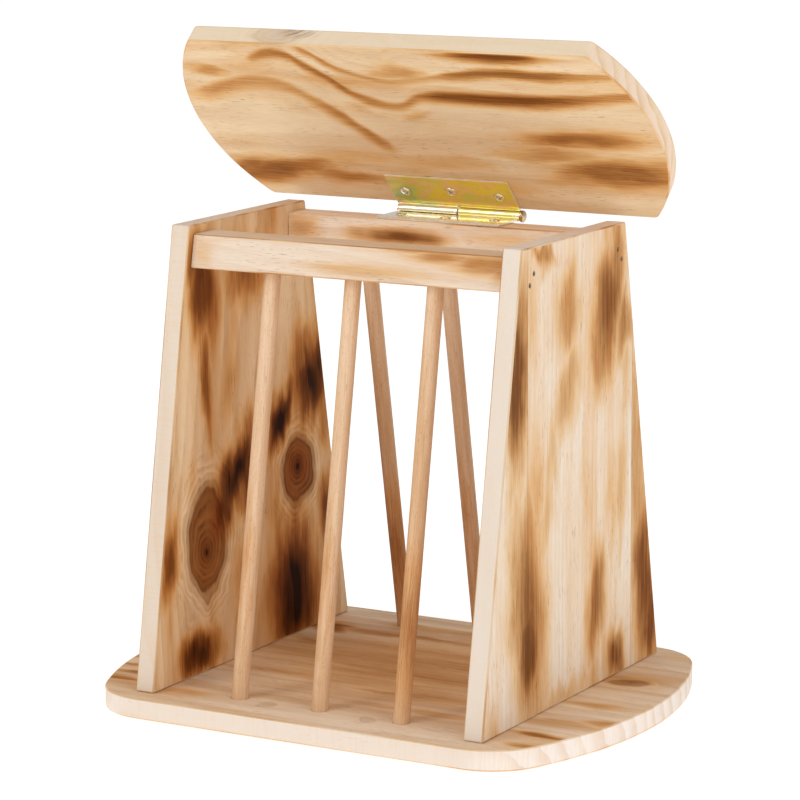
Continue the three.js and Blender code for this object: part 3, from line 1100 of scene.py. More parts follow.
@dataclass(frozen=True)
class YellowZinc:
    """Yellow-passivated zinc plating, whose tint drifts from green through gold and pink to yellow, with a
    near-white painted highlight on its eased edges and knuckle, and a pale painted reflection where asked.
    """

    name: str
    seed: float
    shift: float = 0.0
    along: float = 0.0042
    # Share and colour of a pale overlay on the whole leaf: painted reflection of the bright surroundings.
    painted_sheen: float = 0.0
    painted_sheen_colour: Colour = (0.90, 0.80, 0.66)
    rubbed_and_glint: Colour = (0.84, 0.76, 0.50)
    stain: Colour = (0.42, 0.26, 0.08)
    # Near-white painted highlight for the eased edges and the knuckle.
    painted_glint: Colour = (0.92, 0.90, 0.82)

    def material(self) -> bpy.types.Material:
        """Builds the material."""
        g = Graph(self.name, 0.62, 0.5, 0.8)
        x = g.parts(g.place)[0]
        drift = g.smooth(g.noise((16, 8, 8), self.seed, 3.0), 0.25, 0.75)
        tint = g.math("MULTIPLY_ADD", x, self.along, 0.28 + self.shift)
        tint = g.math("MULTIPLY_ADD", drift, 0.46, tint, clamp=True)
        # Painted reflection: a pale overlay on the whole leaf.
        colour = g.mix(self.painted_sheen, g.ramp(tint, ZINC_TINTS), self.painted_sheen_colour)
        rub = g.noise((9, 0.5, 0.5), self.seed + 1, 3.0, 0.65)
        colour = g.mix(g.smooth(rub, 0.45, 0.85, 0.0, 0.18), colour, self.rubbed_and_glint)
        cloud = g.noise((3, 3, 3), self.seed + 2, 3.0)
        colour = g.mix(g.smooth(cloud, 0.55, 0.8, 0.0, 0.25), colour, self.stain)
        # Painted highlight: where the eased layer is set, full on cut edges and 0.4 on the knuckle, the
        # colour turns near-white in place of a glint of light.
        painted_glint = g.smooth(g.noise((6, 6, 6), self.seed + 3), 0.35, 0.65, 0.5, 1.0)
        colour = g.mix(g.math("MULTIPLY", g.layer(Layer.EASED), painted_glint), colour, self.painted_glint)
        g.bump(g.math("MULTIPLY_ADD", cloud, 0.4, rub), 0.01, 0.35)
        return g.done(colour, g.math("MULTIPLY_ADD", cloud, 0.14, 0.14))


@dataclass(frozen=True)
class BrightSteel:
    """Steel of screws and brads, lightly tarnished, with turning marks."""

    name: str
    seed: float
    colour: Colour = (0.90, 0.87, 0.78)
    tarnish: Colour = (0.46, 0.40, 0.30)

    def material(self) -> bpy.types.Material:
        """Builds the material."""
        g = Graph(self.name, 1.0, 0.5)
        cloud = g.noise((1.6, 1.6, 1.6), self.seed, 3.0)
        mark = g.noise((0.25, 0.25, 0.9), self.seed + 1, 2.0)
        colour = g.mix(g.smooth(cloud, 0.42, 0.78, 0.0, 0.75), self.colour, self.tarnish)
        g.bump(mark, 0.012, 0.4)
        return g.done(colour, g.math("MULTIPLY_ADD", cloud, 0.22, 0.14))


# ---------------------------------------------------------------- sizes shared by the pieces


@dataclass(frozen=True)
class Fastener:
    """Sizes of one kind of screw, whose own +Z points out of the wood."""

    head_r: float
    shank_r: float
    length: float
    dome: float
    recess: Point3
    gap: float = 0.2
    rim: float = 0.06
    flat_dome: float = 0.08

    def hole(self) -> tuple[Point2, ...]:
        """Profile of the tool that cuts its hole."""
        foot = -self.length - HOLE_END_GAP
        shank = self.shank_r + self.gap
        mouth = self.head_r + self.gap
        neck = self.shank_r - self.head_r - self.gap
        return (
            (0, foot), (shank, foot), (shank, neck),
            (mouth, -self.gap / 2), (mouth, HOLE_RUN_OUT), (0, HOLE_RUN_OUT),
        )

    def outline(self) -> list[Point2]:
        """Profile of the screw: its point, the ridges of its thread, its cone and its head."""
        cone = self.head_r - self.shank_r
        pitch = 0.9 * self.shank_r
        core = 0.72 * self.shank_r
        foot = -self.length + self.shank_r
        turns = int((self.length - cone - 2 * self.shank_r) / pitch)
        profile: list[Point2] = [(0, -self.length), (0.25 * self.shank_r, -self.length + 0.15)]
        for turn in range(turns):
            start = foot + turn * pitch
            profile += [
                (core, start), (self.shank_r, start + 0.4 * pitch), (self.shank_r, start + 0.5 * pitch),
            ]
        profile += [(core, foot + turns * pitch), (core, -cone * 1.15), (self.shank_r, -cone)]
        profile += [(self.head_r - 0.12, -0.1), (self.head_r, -0.02), (self.head_r, self.rim)]
        dome = self.dome or self.flat_dome
        for step in range(1, 6):
            angle = math.pi / 2 * step / 6
            swell = self.dome * math.sin(angle) if self.dome else self.flat_dome
            profile.append((self.head_r * math.cos(angle), self.rim + 0.9 * swell))
        profile.append((0, self.rim + 0.92 * dome))
        return profile

    def slot(self, angle: float) -> MeshMaker:
        """Cutter for one arm of the cross in the head, narrower at its floor than at its mouth.

        Args:
            angle: The arm's turn about the screw's axis.

        Returns:
            The cutter.
        """
        width, length, depth = self.recess
        turn = Matrix.Rotation(angle, 4, "Z")
        corners = ((-1, -1), (1, -1), (1, 1), (-1, 1))
        floor = [(0.28 * length * x, 0.36 * width * y, self.dome - depth) for x, y in corners]
        mouth = [(0.62 * length * x, 0.62 * width * y, self.dome + 1.0) for x, y in corners]
        cutter = MeshMaker()
        low = cutter.ring(floor, turn)
        high = cutter.ring(mouth, turn)
        cutter.bridge(low, high, [{}] * len(corners))
        cutter.face(list(reversed(low)), {})
        cutter.face(high, {})
        return cutter

    def screw(self, name: str) -> bpy.types.Mesh:
        """Builds the countersunk screw with its thread and the cross in its head.

        Args:
            name: The mesh's name.

        Returns:
            The mesh, with the head's rim at its origin.
        """
        maker = MeshMaker()
        maker.turned(self.outline(), Matrix.Identity(4), 36)
        mesh = maker.mesh(name)
        for angle in (0.0, math.pi / 2):
            mesh = carved(mesh, self.slot(angle))
        return mesh


LEAF_SCREW = Fastener(head_r=2.7, shank_r=1.4, length=8.5, dome=0.7, recess=(0.75, 3.1, 1.15))
BASE_SCREW = Fastener(head_r=3.5, shank_r=1.75, length=30.0, dome=0.0, recess=(0.9, 4.2, 1.7))


@dataclass(frozen=True)
class Brad:
    """Sizes of the brads that hold the rails, whose own +Z points out of the wood."""

    radius: float = 0.7
    head_r: float = 1.1
    head_h: float = 0.8
    length: float = 24.0
    gap: float = 0.2

    def mesh(self, name: str) -> bpy.types.Mesh:
        """Builds a brad with a dished head.

        Args:
            name: The mesh's name.

        Returns:
            The mesh, with the top of the head at its origin.
        """
        point: list[Point2] = [
            (0, -self.length), (0.2, -self.length + 0.3), (self.radius, -self.length + 2 * self.radius),
        ]
        head: list[Point2] = [
            (self.radius, -self.head_h), (self.head_r - 0.08, -0.5 * self.head_h),
            (self.head_r, -0.3 * self.head_h), (self.head_r, -0.12), (self.head_r - 0.12, 0.0),
        ]
        dish: list[Point2] = [(0.55, -0.04), (0.4, -0.14), (0, -0.16)]
        maker = MeshMaker()
        maker.turned([*point, *head, *dish], Matrix.Identity(4), 24)
        return maker.mesh(name)

    def hole(self) -> tuple[Point2, ...]:
        """Profile of the tool that cuts its hole."""
        foot = -self.length - HOLE_END_GAP
        shank = self.radius + self.gap
        mouth = self.head_r + self.gap
        return (
            (0, foot), (shank, foot), (shank, -self.head_h - self.gap),
            (mouth, -0.5 * self.head_h - self.gap), (mouth, HOLE_RUN_OUT), (0, HOLE_RUN_OUT),
        )


BRAD = Brad()


@dataclass(frozen=True)
class Drilling:
    """One hole: the profile of its cutter, and the cutter's place in the row frame."""

    profile: tuple[Point2, ...]
    place: Matrix


def bored(mesh: bpy.types.Mesh, place: Matrix, drillings: Sequence[Drilling]) -> bpy.types.Mesh:
    """Cuts a piece's holes.

    Args:
        mesh: The piece's mesh, in its own frame.
        place: The piece's place in the row frame.
        drillings: The holes, in the row frame.

    Returns:
        The mesh with its holes.
    """
    cutters = MeshMaker()
    for drilling in drillings:
        spot = place.inverted() @ drilling.place
        cutters.turned(drilling.profile, spot, HOLE_SIDES, {Layer.SAWN: DRILLED_WALL})
    return carved(mesh, cutters)


# ---------------------------------------------------------------- dowel bars


@dataclass
class DowelBars:
    """The six bars of the hay chamber, turned from beech."""

    diameter: float = 8.0
    slope: float = 0.175
    gap: float = 0.2
    end_gap: float = HOLE_END_GAP
    chamfer: float = 0.6
    skin: float = 0.02
    rounding: float = 0.9
    runs: int = 24
    sides: int = 40
    names: tuple[str, ...] = tuple(f"{face}_dowel_{n}" for face in ("front", "back") for n in (1, 2, 3))
    singed: tuple[str, ...] = ("front_dowel_3", "back_dowel_1")

    def line(self, node: str) -> tuple[Vector, Vector]:
        """Finds a bar's axis from its box.

        Args:
            node: The bar's CAD node.

        Returns:
            The axis at the bar's foot and at its top, in metres.
        """
        low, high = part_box(node)
        stretch = math.hypot(1.0, self.slope)
        drop = self.diameter / 2 * MM * self.slope / stretch
        reach = self.diameter / 2 * MM / stretch
        x = (low.x + high.x) / 2
        if low.y + high.y < 0:
            return Vector((x, low.y + reach, low.z + drop)), Vector((x, high.y - reach, high.z - drop))
        return Vector((x, high.y - reach, low.z + drop)), Vector((x, low.y + reach, high.z - drop))

    def sockets(self) -> list[Drilling]:
        """Cutters for the bars' sockets in the base and in the rails."""
        radius = self.diameter / 2 + self.gap
        found: list[Drilling] = []
        for node in self.names:
            foot, top = self.line(node)
            length = (top - foot).length / MM
            profile = (
                (0, -self.end_gap), (radius, -self.end_gap), (radius, length + self.end_gap),
                (0, length + self.end_gap),
            )
            found.append(Drilling(profile, turned_matrix(foot, top - foot)))
        return found

    def bar(self, name: str, length: float, seed: int) -> bpy.types.Mesh:
        """Turns one bar along its own +X, very slightly uneven in thickness.

        Args:
            name: The mesh's name.
            length: The bar's length.
            seed: Sets one bar's unevenness apart from another's.

        Returns:
            The bar's mesh.
        """
        radius = self.diameter / 2
        end: list[Point2] = [
            (0, 0), (radius - self.chamfer, 0), (radius - 0.12, 0.3), (radius - self.skin, self.rounding),
        ]
        profile = list(end)
        for step in range(1, self.runs):
            height = self.rounding + (length - 2 * self.rounding) * step / self.runs
            wave = math.sin(seed * 1.7 + step * 0.9)
            profile.append((radius - self.skin - self.skin * wave, height))
        profile += [(r, length - height) for r, height in reversed(end)]
        maker = MeshMaker()
        maker.turned(profile, Matrix.Rotation(math.pi / 2, 4, "Y"), self.sides)
        return maker.mesh(name)

    def build(self) -> None:
        """Makes and dresses the six bars."""
        plain = Beech("turned_beech", 4.0).material()
        singed = Beech("singed_beech", 9.0, (
            DarkPatch((52, 0, 0), (62, 12, 12), 0.62),
            DarkPatch((22, -3, 0), (20, 6, 8), 0.55),
        )).material()
        for seed, node in enumerate(self.names):
            foot, top = self.line(node)
            axis = (top - foot).normalized()
            side = Vector((1, 0, 0))
            turn = Matrix((axis, side, axis.cross(side))).transposed().to_4x4()
            place = Matrix.Translation(foot) @ turn
            mesh = self.bar(node, (top - foot).length / MM, seed)
            finish = singed if node in self.singed else plain
            place_piece(f"beech_{node}", mesh, place, Body.RACK, node, finish)


# ---------------------------------------------------------------- hinge


@dataclass
class Hinge:
    """Two stamped leaves, each rolled round one half of a headed pin, and the screws through them."""

    axis: Vector
    lid_place: Matrix
    length: float = 68.0
    reach: float = 23.4
    sheet: float = 1.2
    bore_r: float = 1.4
    offset: float = 2.2
    curl_end: float = 196.0
    leaf_clearance: float = 0.15
    knuckle_clearance: float = 0.9
    pin_r: float = 1.2
    head_r: float = 3.0
    head_h: float = 2.2
    screw_inset: float = 8.0
    screw_reach: float = 12.3
    screw_stagger: float = 2.0
    screw_turns: Point3 = (0.5, 0.15, 0.9)
    curl_steps: int = 40
    tip_inset: float = 0.6
    head_gap: float = 0.2

    @property
    def frame_place(self) -> Matrix:
        """Place of the leaf on the rail."""
        return Matrix.Translation(self.axis)

    @property
    def lid_leaf_place(self) -> Matrix:
        """Place of the same stamping turned over, on the lid."""
        return self.lid_place @ Matrix.Rotation(math.pi, 4, "Y")

    def screw_places(self, leaf: Matrix) -> list[Matrix]:
        """Places of a leaf's three screws.

        Args:
            leaf: The leaf's place.

        Returns:
            One place for each screw, in the row frame.
        """
        pitch = self.length / 2 - self.screw_inset
        top = -self.offset + self.sheet
        places: list[Matrix] = []
        for step, turn in zip((-1, 0, 1), self.screw_turns):
            stagger = 0.0 if step else self.screw_stagger
            spot = Vector((step * pitch, -self.screw_reach - stagger, top)) * MM
            places.append(leaf @ Matrix.Translation(spot) @ Matrix.Rotation(turn, 4, "Z"))
        return places

    def holes(self, leaf: Matrix) -> list[Drilling]:
        """Cutters for a leaf's screw holes, in the leaf and in the wood under it."""
        return [Drilling(LEAF_SCREW.hole(), place) for place in self.screw_places(leaf)]

    def leaf(self, name: str) -> bpy.types.Mesh:
        """Stamps and rolls one leaf about the hinge axis, with its knuckle on the -X half.

        Args:
            name: The mesh's name.

        Returns:
            The leaf's mesh, without its screw holes.
        """
        outer_r = self.bore_r + self.sheet
        clear = outer_r + self.leaf_clearance
        top = self.offset - self.sheet
        half = self.length / 2
        inner = self.knuckle_clearance / 2
        curl = math.radians(self.curl_end)
        start = -math.pi + math.asin(self.offset / outer_r)
        stop = -math.pi + math.asin(top / self.bore_r)
        shares = [n / self.curl_steps for n in range(self.curl_steps + 1)]
        roll = [start + (curl - start) * share for share in shares]
        back = [curl + (stop - curl) * share for share in shares]
        curl_part = [(outer_r * math.cos(a), outer_r * math.sin(a)) for a in roll]
        curl_part += [(self.bore_r * math.cos(a), self.bore_r * math.sin(a)) for a in back]
        plate = [(-clear, -top), (-self.reach, -top), (-self.reach, -self.offset), (-clear, -self.offset)]
        maker = MeshMaker()
        here = Matrix.Identity(4)
        end = maker.ring([(-half, y, z) for y, z in plate + curl_part], here)
        middle = maker.ring([(-inner, y, z) for y, z in plate + curl_part], here)
        far = maker.ring([(half, y, z) for y, z in plate], here)
        # The eased layer carries the zinc's painted highlight: full on the cut edges and 0.4 on the rolled
        # knuckle.
        cut = {Layer.EASED: 1.0}
        rubbed_and_glint = {Layer.EASED: 0.4}
        maker.bridge(end, middle, [{}, cut, {}, *[rubbed_and_glint] * (len(end) - 3)])
        maker.face(list(reversed(end)), cut)
        maker.face([middle[3], middle[0], *reversed(middle[4:])], cut)
        maker.bridge(middle[:4], far, [{}, cut, {}, {}])
        maker.face(far, cut)
        bmesh.ops.recalc_face_normals(maker.bm, faces=maker.bm.faces)
        maker.ease_edges(0.14, math.radians(50))
        return maker.mesh(name)

    def pin(self, name: str) -> bpy.types.Mesh:
        """Turns the pin along its own +Z, with its domed head past the lid's knuckle.

        Args:
            name: The mesh's name.

        Returns:
            The pin's mesh, with the middle of the hinge at its origin.
        """
        half = self.length / 2
        tip = self.tip_inset - half
        foot = half + self.head_gap
        profile: list[Point2] = [
            (0, tip), (self.pin_r - 0.35, tip + 0.02), (self.pin_r, tip + 0.5), (self.pin_r, foot),
            (self.head_r - 0.25, foot), (self.head_r, foot + 0.2), (self.head_r, foot + 0.3 * self.head_h),
        ]
        for step in range(1, 8):
            angle = math.pi / 2 * step / 8
            rise = 0.3 + 0.7 * math.sin(angle)
            profile.append((self.head_r * math.cos(angle), foot + self.head_h * rise))
        profile.append((0, foot + self.head_h))
        maker = MeshMaker()
        maker.turned(profile, Matrix.Identity(4), 40)
        return maker.mesh(name)

    def build(self) -> None:
        """Makes and dresses the leaves, the pin and the screws."""
        # The flat frame leaf takes a pale overlay: painted reflection of the bright surroundings.
        frame_zinc = YellowZinc("yellow_zinc_frame", 3.0, 0.06, painted_sheen=0.5)
        lid_zinc = YellowZinc("yellow_zinc_lid", 12.0, 0.02, -0.0052)
        leaves = (
            ("hinge_frame_leaf", self.frame_place, Body.RACK, frame_zinc),
            ("hinge_lid_leaf", self.lid_leaf_place, Body.LID, lid_zinc),
        )
        for node, place, body, finish in leaves:
            mesh = bored(self.leaf(node), place, self.holes(place))
            place_piece(f"zinc_{node}", mesh, place, body, node, finish.material())
        place = turned_matrix(self.axis, Vector((1, 0, 0)))
        dull_zinc = BrightSteel("zinc_pin", 5.0, (0.60, 0.44, 0.28), (0.34, 0.20, 0.10)).material()
        pin = self.pin("pin")
        place_piece("zinc_hinge_pin", pin, place, Body.PIN, "hinge_pin", dull_zinc)
        steel = BrightSteel("bright_screw_steel", 2.0).material()
        stock = LEAF_SCREW.screw("leaf_screw")
        for kind, leaf, body in (
            ("frame", self.frame_place, Body.RACK), ("lid", self.lid_leaf_place, Body.LID),
        ):
            spots = self.screw_places(leaf)
            for n, place in enumerate(spots if kind == "frame" else reversed(spots)):
                node = f"{kind}_leaf_screw_{n + 1}"
                place_piece(f"steel_{node}", stock.copy(), place, body, node, steel)


# ---------------------------------------------------------------- boards


@dataclass
class Board:
    """What the flat boards share: the eased edges and the way a board's walls are tagged."""

    ease: float = 0.7

    def walls(self, outline: Sequence[Point2]) -> list[dict[Layer, float]]:
        """Tags each wall as sawn, with how far it shows end grain.

        Args:
            outline: The board's outline in its own plane.

        Returns:
            The layer values of each wall.
        """
        tags: list[dict[Layer, float]] = []
        for n, point in enumerate(outline):
            after = outline[(n + 1) % len(outline)]
            run = math.dist(point, after)
            tags.append({Layer.SAWN: 1.0, Layer.END_GRAIN: abs(after[1] - point[1]) / run})
        return tags

    def blank(self, name: str, outline: Sequence[Point2], thickness: float) -> bpy.types.Mesh:
        """Makes a board centred on its own origin, before its holes are cut.

        Args:
            name: The mesh's name.
            outline: Its outline in its own plane.
            thickness: Its thickness.

        Returns:
            The solid board.
        """
        maker = MeshMaker()
        half = thickness / 2
        maker.prism(outline, -half, half, self.ease, self.walls(outline), {}, Matrix.Identity(4))
        return maker.mesh(name)


@dataclass
class BaseBoard(Board):
    """The board that everything stands on, with sockets for the bars and screws from below."""

    straight: float = 214.0
    bow: float = 28.0
    corner_r: float = 32.0
    screw_x: float = 89.0
    screw_pitch: float = 62.0
    screw_sunk: float = 0.5

    def screw_holes(self) -> list[Drilling]:
        """Cutters for the six screws that come up into the side panels."""
        return [Drilling(BASE_SCREW.hole(), place) for _, place in self.screw_places()]

    def screw_places(self) -> list[tuple[str, Matrix]]:
        """Names and places of the six screws, whose heads face down."""
        found: list[tuple[str, Matrix]] = []
        for side, sign in (("left", -1), ("right", 1)):
            for n, step in enumerate((-1, 0, 1)):
                point = Vector((sign * self.screw_x, step * self.screw_pitch, self.screw_sunk)) * MM
                turn = Matrix.Rotation(0.4 + 1.1 * n + sign, 4, "Z")
                place = turned_matrix(point, Vector((0, 0, -1))) @ turn
                found.append((f"base_screw_{side}_{n + 1}", place))
        return found

    def finish(self) -> FlamedPine:
        """Pine with broad tan bands, a dark knot on the right wing and two pin knots near the front, and a
        broad painted shade over the inside of the base.
        """
        return FlamedPine(
            "base_flamed_pine", 21.0, pith=(-150.0, -46.0), spacing=11.0, tilt=0.04, wander=10.0,
            pale=(0.90, 0.72, 0.54), honey=(0.74, 0.50, 0.30), late_share=0.5, toast=0.3,
            sawn=(0.76, 0.665, 0.58), end_wood=(0.90, 0.83, 0.78), end_rings=0.26, edge_char=0.3,
            knots=(
                Knot((107, 34, 5), (11, 6, 12), 4.0, 0.6, 12),
                Knot((-28, -81.5, 5), (4.6, 4.6, 5), 2.0, 0.2),
                Knot((29, -82, 5), (4.6, 4.6, 5), 2.0, 0.2),
            ),
            dark_patches=(
                *face_patches(UPPER_FACE, (
                    (106, 36, 22, 11, 0.3, 10), (112, -67, 20, 4.5, 0.55, -4),
                    (112, -84, 15, 4, 0.45, 2), (110, -11, 20, 5, 0.3, 0), (125, -35, 14, 5, 0.35, 4),
                    (-118, -74, 24, 3.5, 0.45, 0), (-120, -50, 24, 3, 0.4, 0),
                    (-118, -18, 20, 4, 0.35, 0), (2, -1, 74, 8, 0.38, -2), (-30, 60, 60, 5, 0.4, 0),
                    (24, 26, 56, 5, 0.34, 2), (-10, 78, 60, 5, 0.3, 0), (30, -36, 50, 6, 0.34, 3),
                    # (0, 8, 78, 60, 0.3, 0) is painted shade: a broad darkening over the inside of the
                    # base, between the panels, not a flame mark.
                    (-46, -28, 34, 4, 0.28, -3), (0, 8, 78, 60, 0.3, 0), (40, -58, 50, 5, 0.26, 0),
                    (-112, -62, 26, 3, 0.5, 3), (-116, -36, 24, 4, 0.42, 0), (-78, 60, 14, 9, 0.6, 0),
                    (-70, 30, 16, 7, 0.35, 0),
                )),
                *face_patches(UNDER_FACE, (
                    (60, 70, 50, 14, 0.6, 0), (-70, -30, 44, 16, 0.7, 0), (20, -60, 60, 10, 0.5, 0),
                )),
            ),
        )

    def build(self, sockets: Sequence[Drilling]) -> None:
        """Makes and dresses the board and its screws.

        Args:
            sockets: Cutters for the bars' sockets.
        """
        low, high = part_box("base_board")
        depth = (high.y - low.y) / MM
        thickness = (high.z - low.z) / MM
        place = Matrix.Translation((low + high) / 2)
        outline = bow_ended_outline(self.straight, depth, self.bow, self.corner_r)
        blank = self.blank("base_board", outline, thickness)
        mesh = bored(blank, place, [*sockets, *self.screw_holes()])
        pine = self.finish().material()
        place_piece("flamed_base_board", mesh, place, Body.RACK, "base_board", pine)
        steel = BrightSteel("base_screw_steel", 14.0, (0.70, 0.62, 0.40), (0.35, 0.28, 0.15)).material()
        stock = BASE_SCREW.screw("base_screw")
        for node, spot in self.screw_places():
            place_piece(f"steel_{node}", stock.copy(), spot, Body.RACK, node, steel)


@dataclass
class SidePanels(Board):
    """The two tapered panels, with their grain upright."""

    top_depth: float = 106.0

    def right_finish(self) -> FlamedPine:
        """Pale upright grain in three staves, with long browned patches on the outer face."""
        seams = (-47.3, 60.7)
        left_stave = (ANY_STAVE[0], seams[0])
        right_stave = (seams[1], ANY_STAVE[1])
        return FlamedPine(
            "right_panel_flamed_pine", 33.0, pith=(-230.0, 30.0), spacing=4.2, tilt=0.02, wander=5.0,
            pale=(0.87, 0.765, 0.645), honey=(0.83, 0.62, 0.42), late_share=0.26, toast=0.3,
            end_wood=(0.78, 0.69, 0.61),
            seams=seams,
            dark_patches=(
                *face_patches(UNDER_FACE, (
                    (72, 35, 38, 16, 0.66, 15), (60, 52, 18, 9, 0.5, 5), (50, 24, 24, 9, 0.42, 0),
                    (92, 40, 22, 10, 0.52, 10), (75, -7, 22, 15, 0.4, 4), (38, -7, 26, 11, 0.36, 26),
                    (105, -32, 7, 14, 0.44, 0), (-60, -47, 56, 19, 0.62, -5),
                    (-74, -46, 28, 15, 0.74, -2), (-68, 23, 29, 9, 0.58, 5), (-76, 22, 16, 7, 0.54, 0),
                    (-103, 44, 15, 11, 0.66, -10), (-2, -39, 26, 9, 0.26, 0),
                    (-110, -20, 8, 40, 0.24, 0),
                )),
                *face_patches(UNDER_FACE, (
                    (50, -57, 50, 11, 0.74, 4), (35, -58, 22, 9, 0.6, 4),
                ), left_stave),
                *face_patches(UNDER_FACE, (
                    (-70, 76, 48, 15, 0.7, -6), (-92, 82, 26, 12, 0.72, -6),
                    (-10, 66, 70, 12, 0.36, -6),
                ), right_stave),
                *face_patches(UPPER_FACE, (
                    (-40, 4, 66, 15, 0.62, 8), (-20, -10, 40, 9, 0.5, 4), (64, 30, 44, 11, 0.56, -6),
                    (40, 38, 26, 8, 0.45, 0), (24, -48, 60, 10, 0.56, 4), (-84, 62, 34, 12, 0.66, -4),
                    (-90, -50, 20, 12, 0.5, 0),
                )),
            ),
        )

    def left_finish(self) -> FlamedPine:
        """Golden wood whose inner face has two round knots and near-black patches."""
        return FlamedPine(
            "left_panel_flamed_pine", 47.0, pith=(15.0, -58.0), spacing=6.0, tilt=0.1, wander=7.0,
            pale=(0.88, 0.66, 0.42), honey=(0.73, 0.455, 0.225), late_share=0.56, toast=0.38,
            knots=(
                Knot((-52, -43, -5), (27, 18, 30), 7.5, 1.0, 3, (8, 1)),
                Knot((-24, 42.5, -5), (18, 16, 30), 6.5, 1.0, 0, (-1.5, 1)),
            ),
            dark_patches=(
                *face_patches(UNDER_FACE, (
                    (76, -42, 28, 13, 0.76, 0), (92, -50, 18, 8, 0.62, 0), (31, -41, 30, 5, 0.6, -8),
                    (84, -3, 18, 20, 0.58, 0), (20, 57, 27, 20, 0.94, 15), (4, 27, 21, 10, 1.0, 28),
                    (-18, -15, 28, 15, 0.98, 32), (-86, 38, 38, 24, 1.0, -2), (-94, 38, 28, 22, 1.0, 0),
                    (-101, -51, 14, 18, 0.9, 0), (-24, 42, 15, 13, 0.3, 0), (-48, -74, 20, 7, 0.72, 7),
                    (-51, 69, 18, 7, 0.7, 8), (-70, -8, 26, 12, 0.34, 0), (0, 70, 22, 8, 0.4, 0),
                )),
                *face_patches(UPPER_FACE, (
                    (64, 20, 52, 11, 0.66, 6), (40, 12, 30, 7, 0.5, 10), (-50, -44, 56, 13, 0.64, -6),
                    (-70, -36, 26, 10, 0.66, 0), (-86, 52, 36, 10, 0.56, 4), (20, -24, 44, 7, 0.42, 6),
                    (36, 60, 60, 6, 0.46, -10), (-10, 66, 40, 8, 0.36, -8), (92, -34, 20, 12, 0.46, 0),
                )),
            ),
        )

    def build(self, drillings: dict[str, list[Drilling]]) -> None:
        """Makes and dresses both panels.

        Args:
            drillings: Each panel's holes, by its side.
        """
        for side, finish in (("left", self.left_finish()), ("right", self.right_finish())):
            node = f"{side}_side_panel"
            low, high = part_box(node)
            height = (high.z - low.z) / MM
            foot = (high.y - low.y) / MM
            corners = [
                (-height / 2, -foot / 2), (height / 2, -self.top_depth / 2),
                (height / 2, self.top_depth / 2), (-height / 2, foot / 2),
            ]
            upright = Matrix(((0, 0, -1), (0, 1, 0), (1, 0, 0))).to_4x4()
            place = Matrix.Translation((low + high) / 2) @ upright
            blank = self.blank(node, rounded_outline(corners, 1.0), (high.x - low.x) / MM)
            mesh = bored(blank, place, drillings[side])
            place_piece(f"flamed_{node}", mesh, place, Body.RACK, node, finish.material())


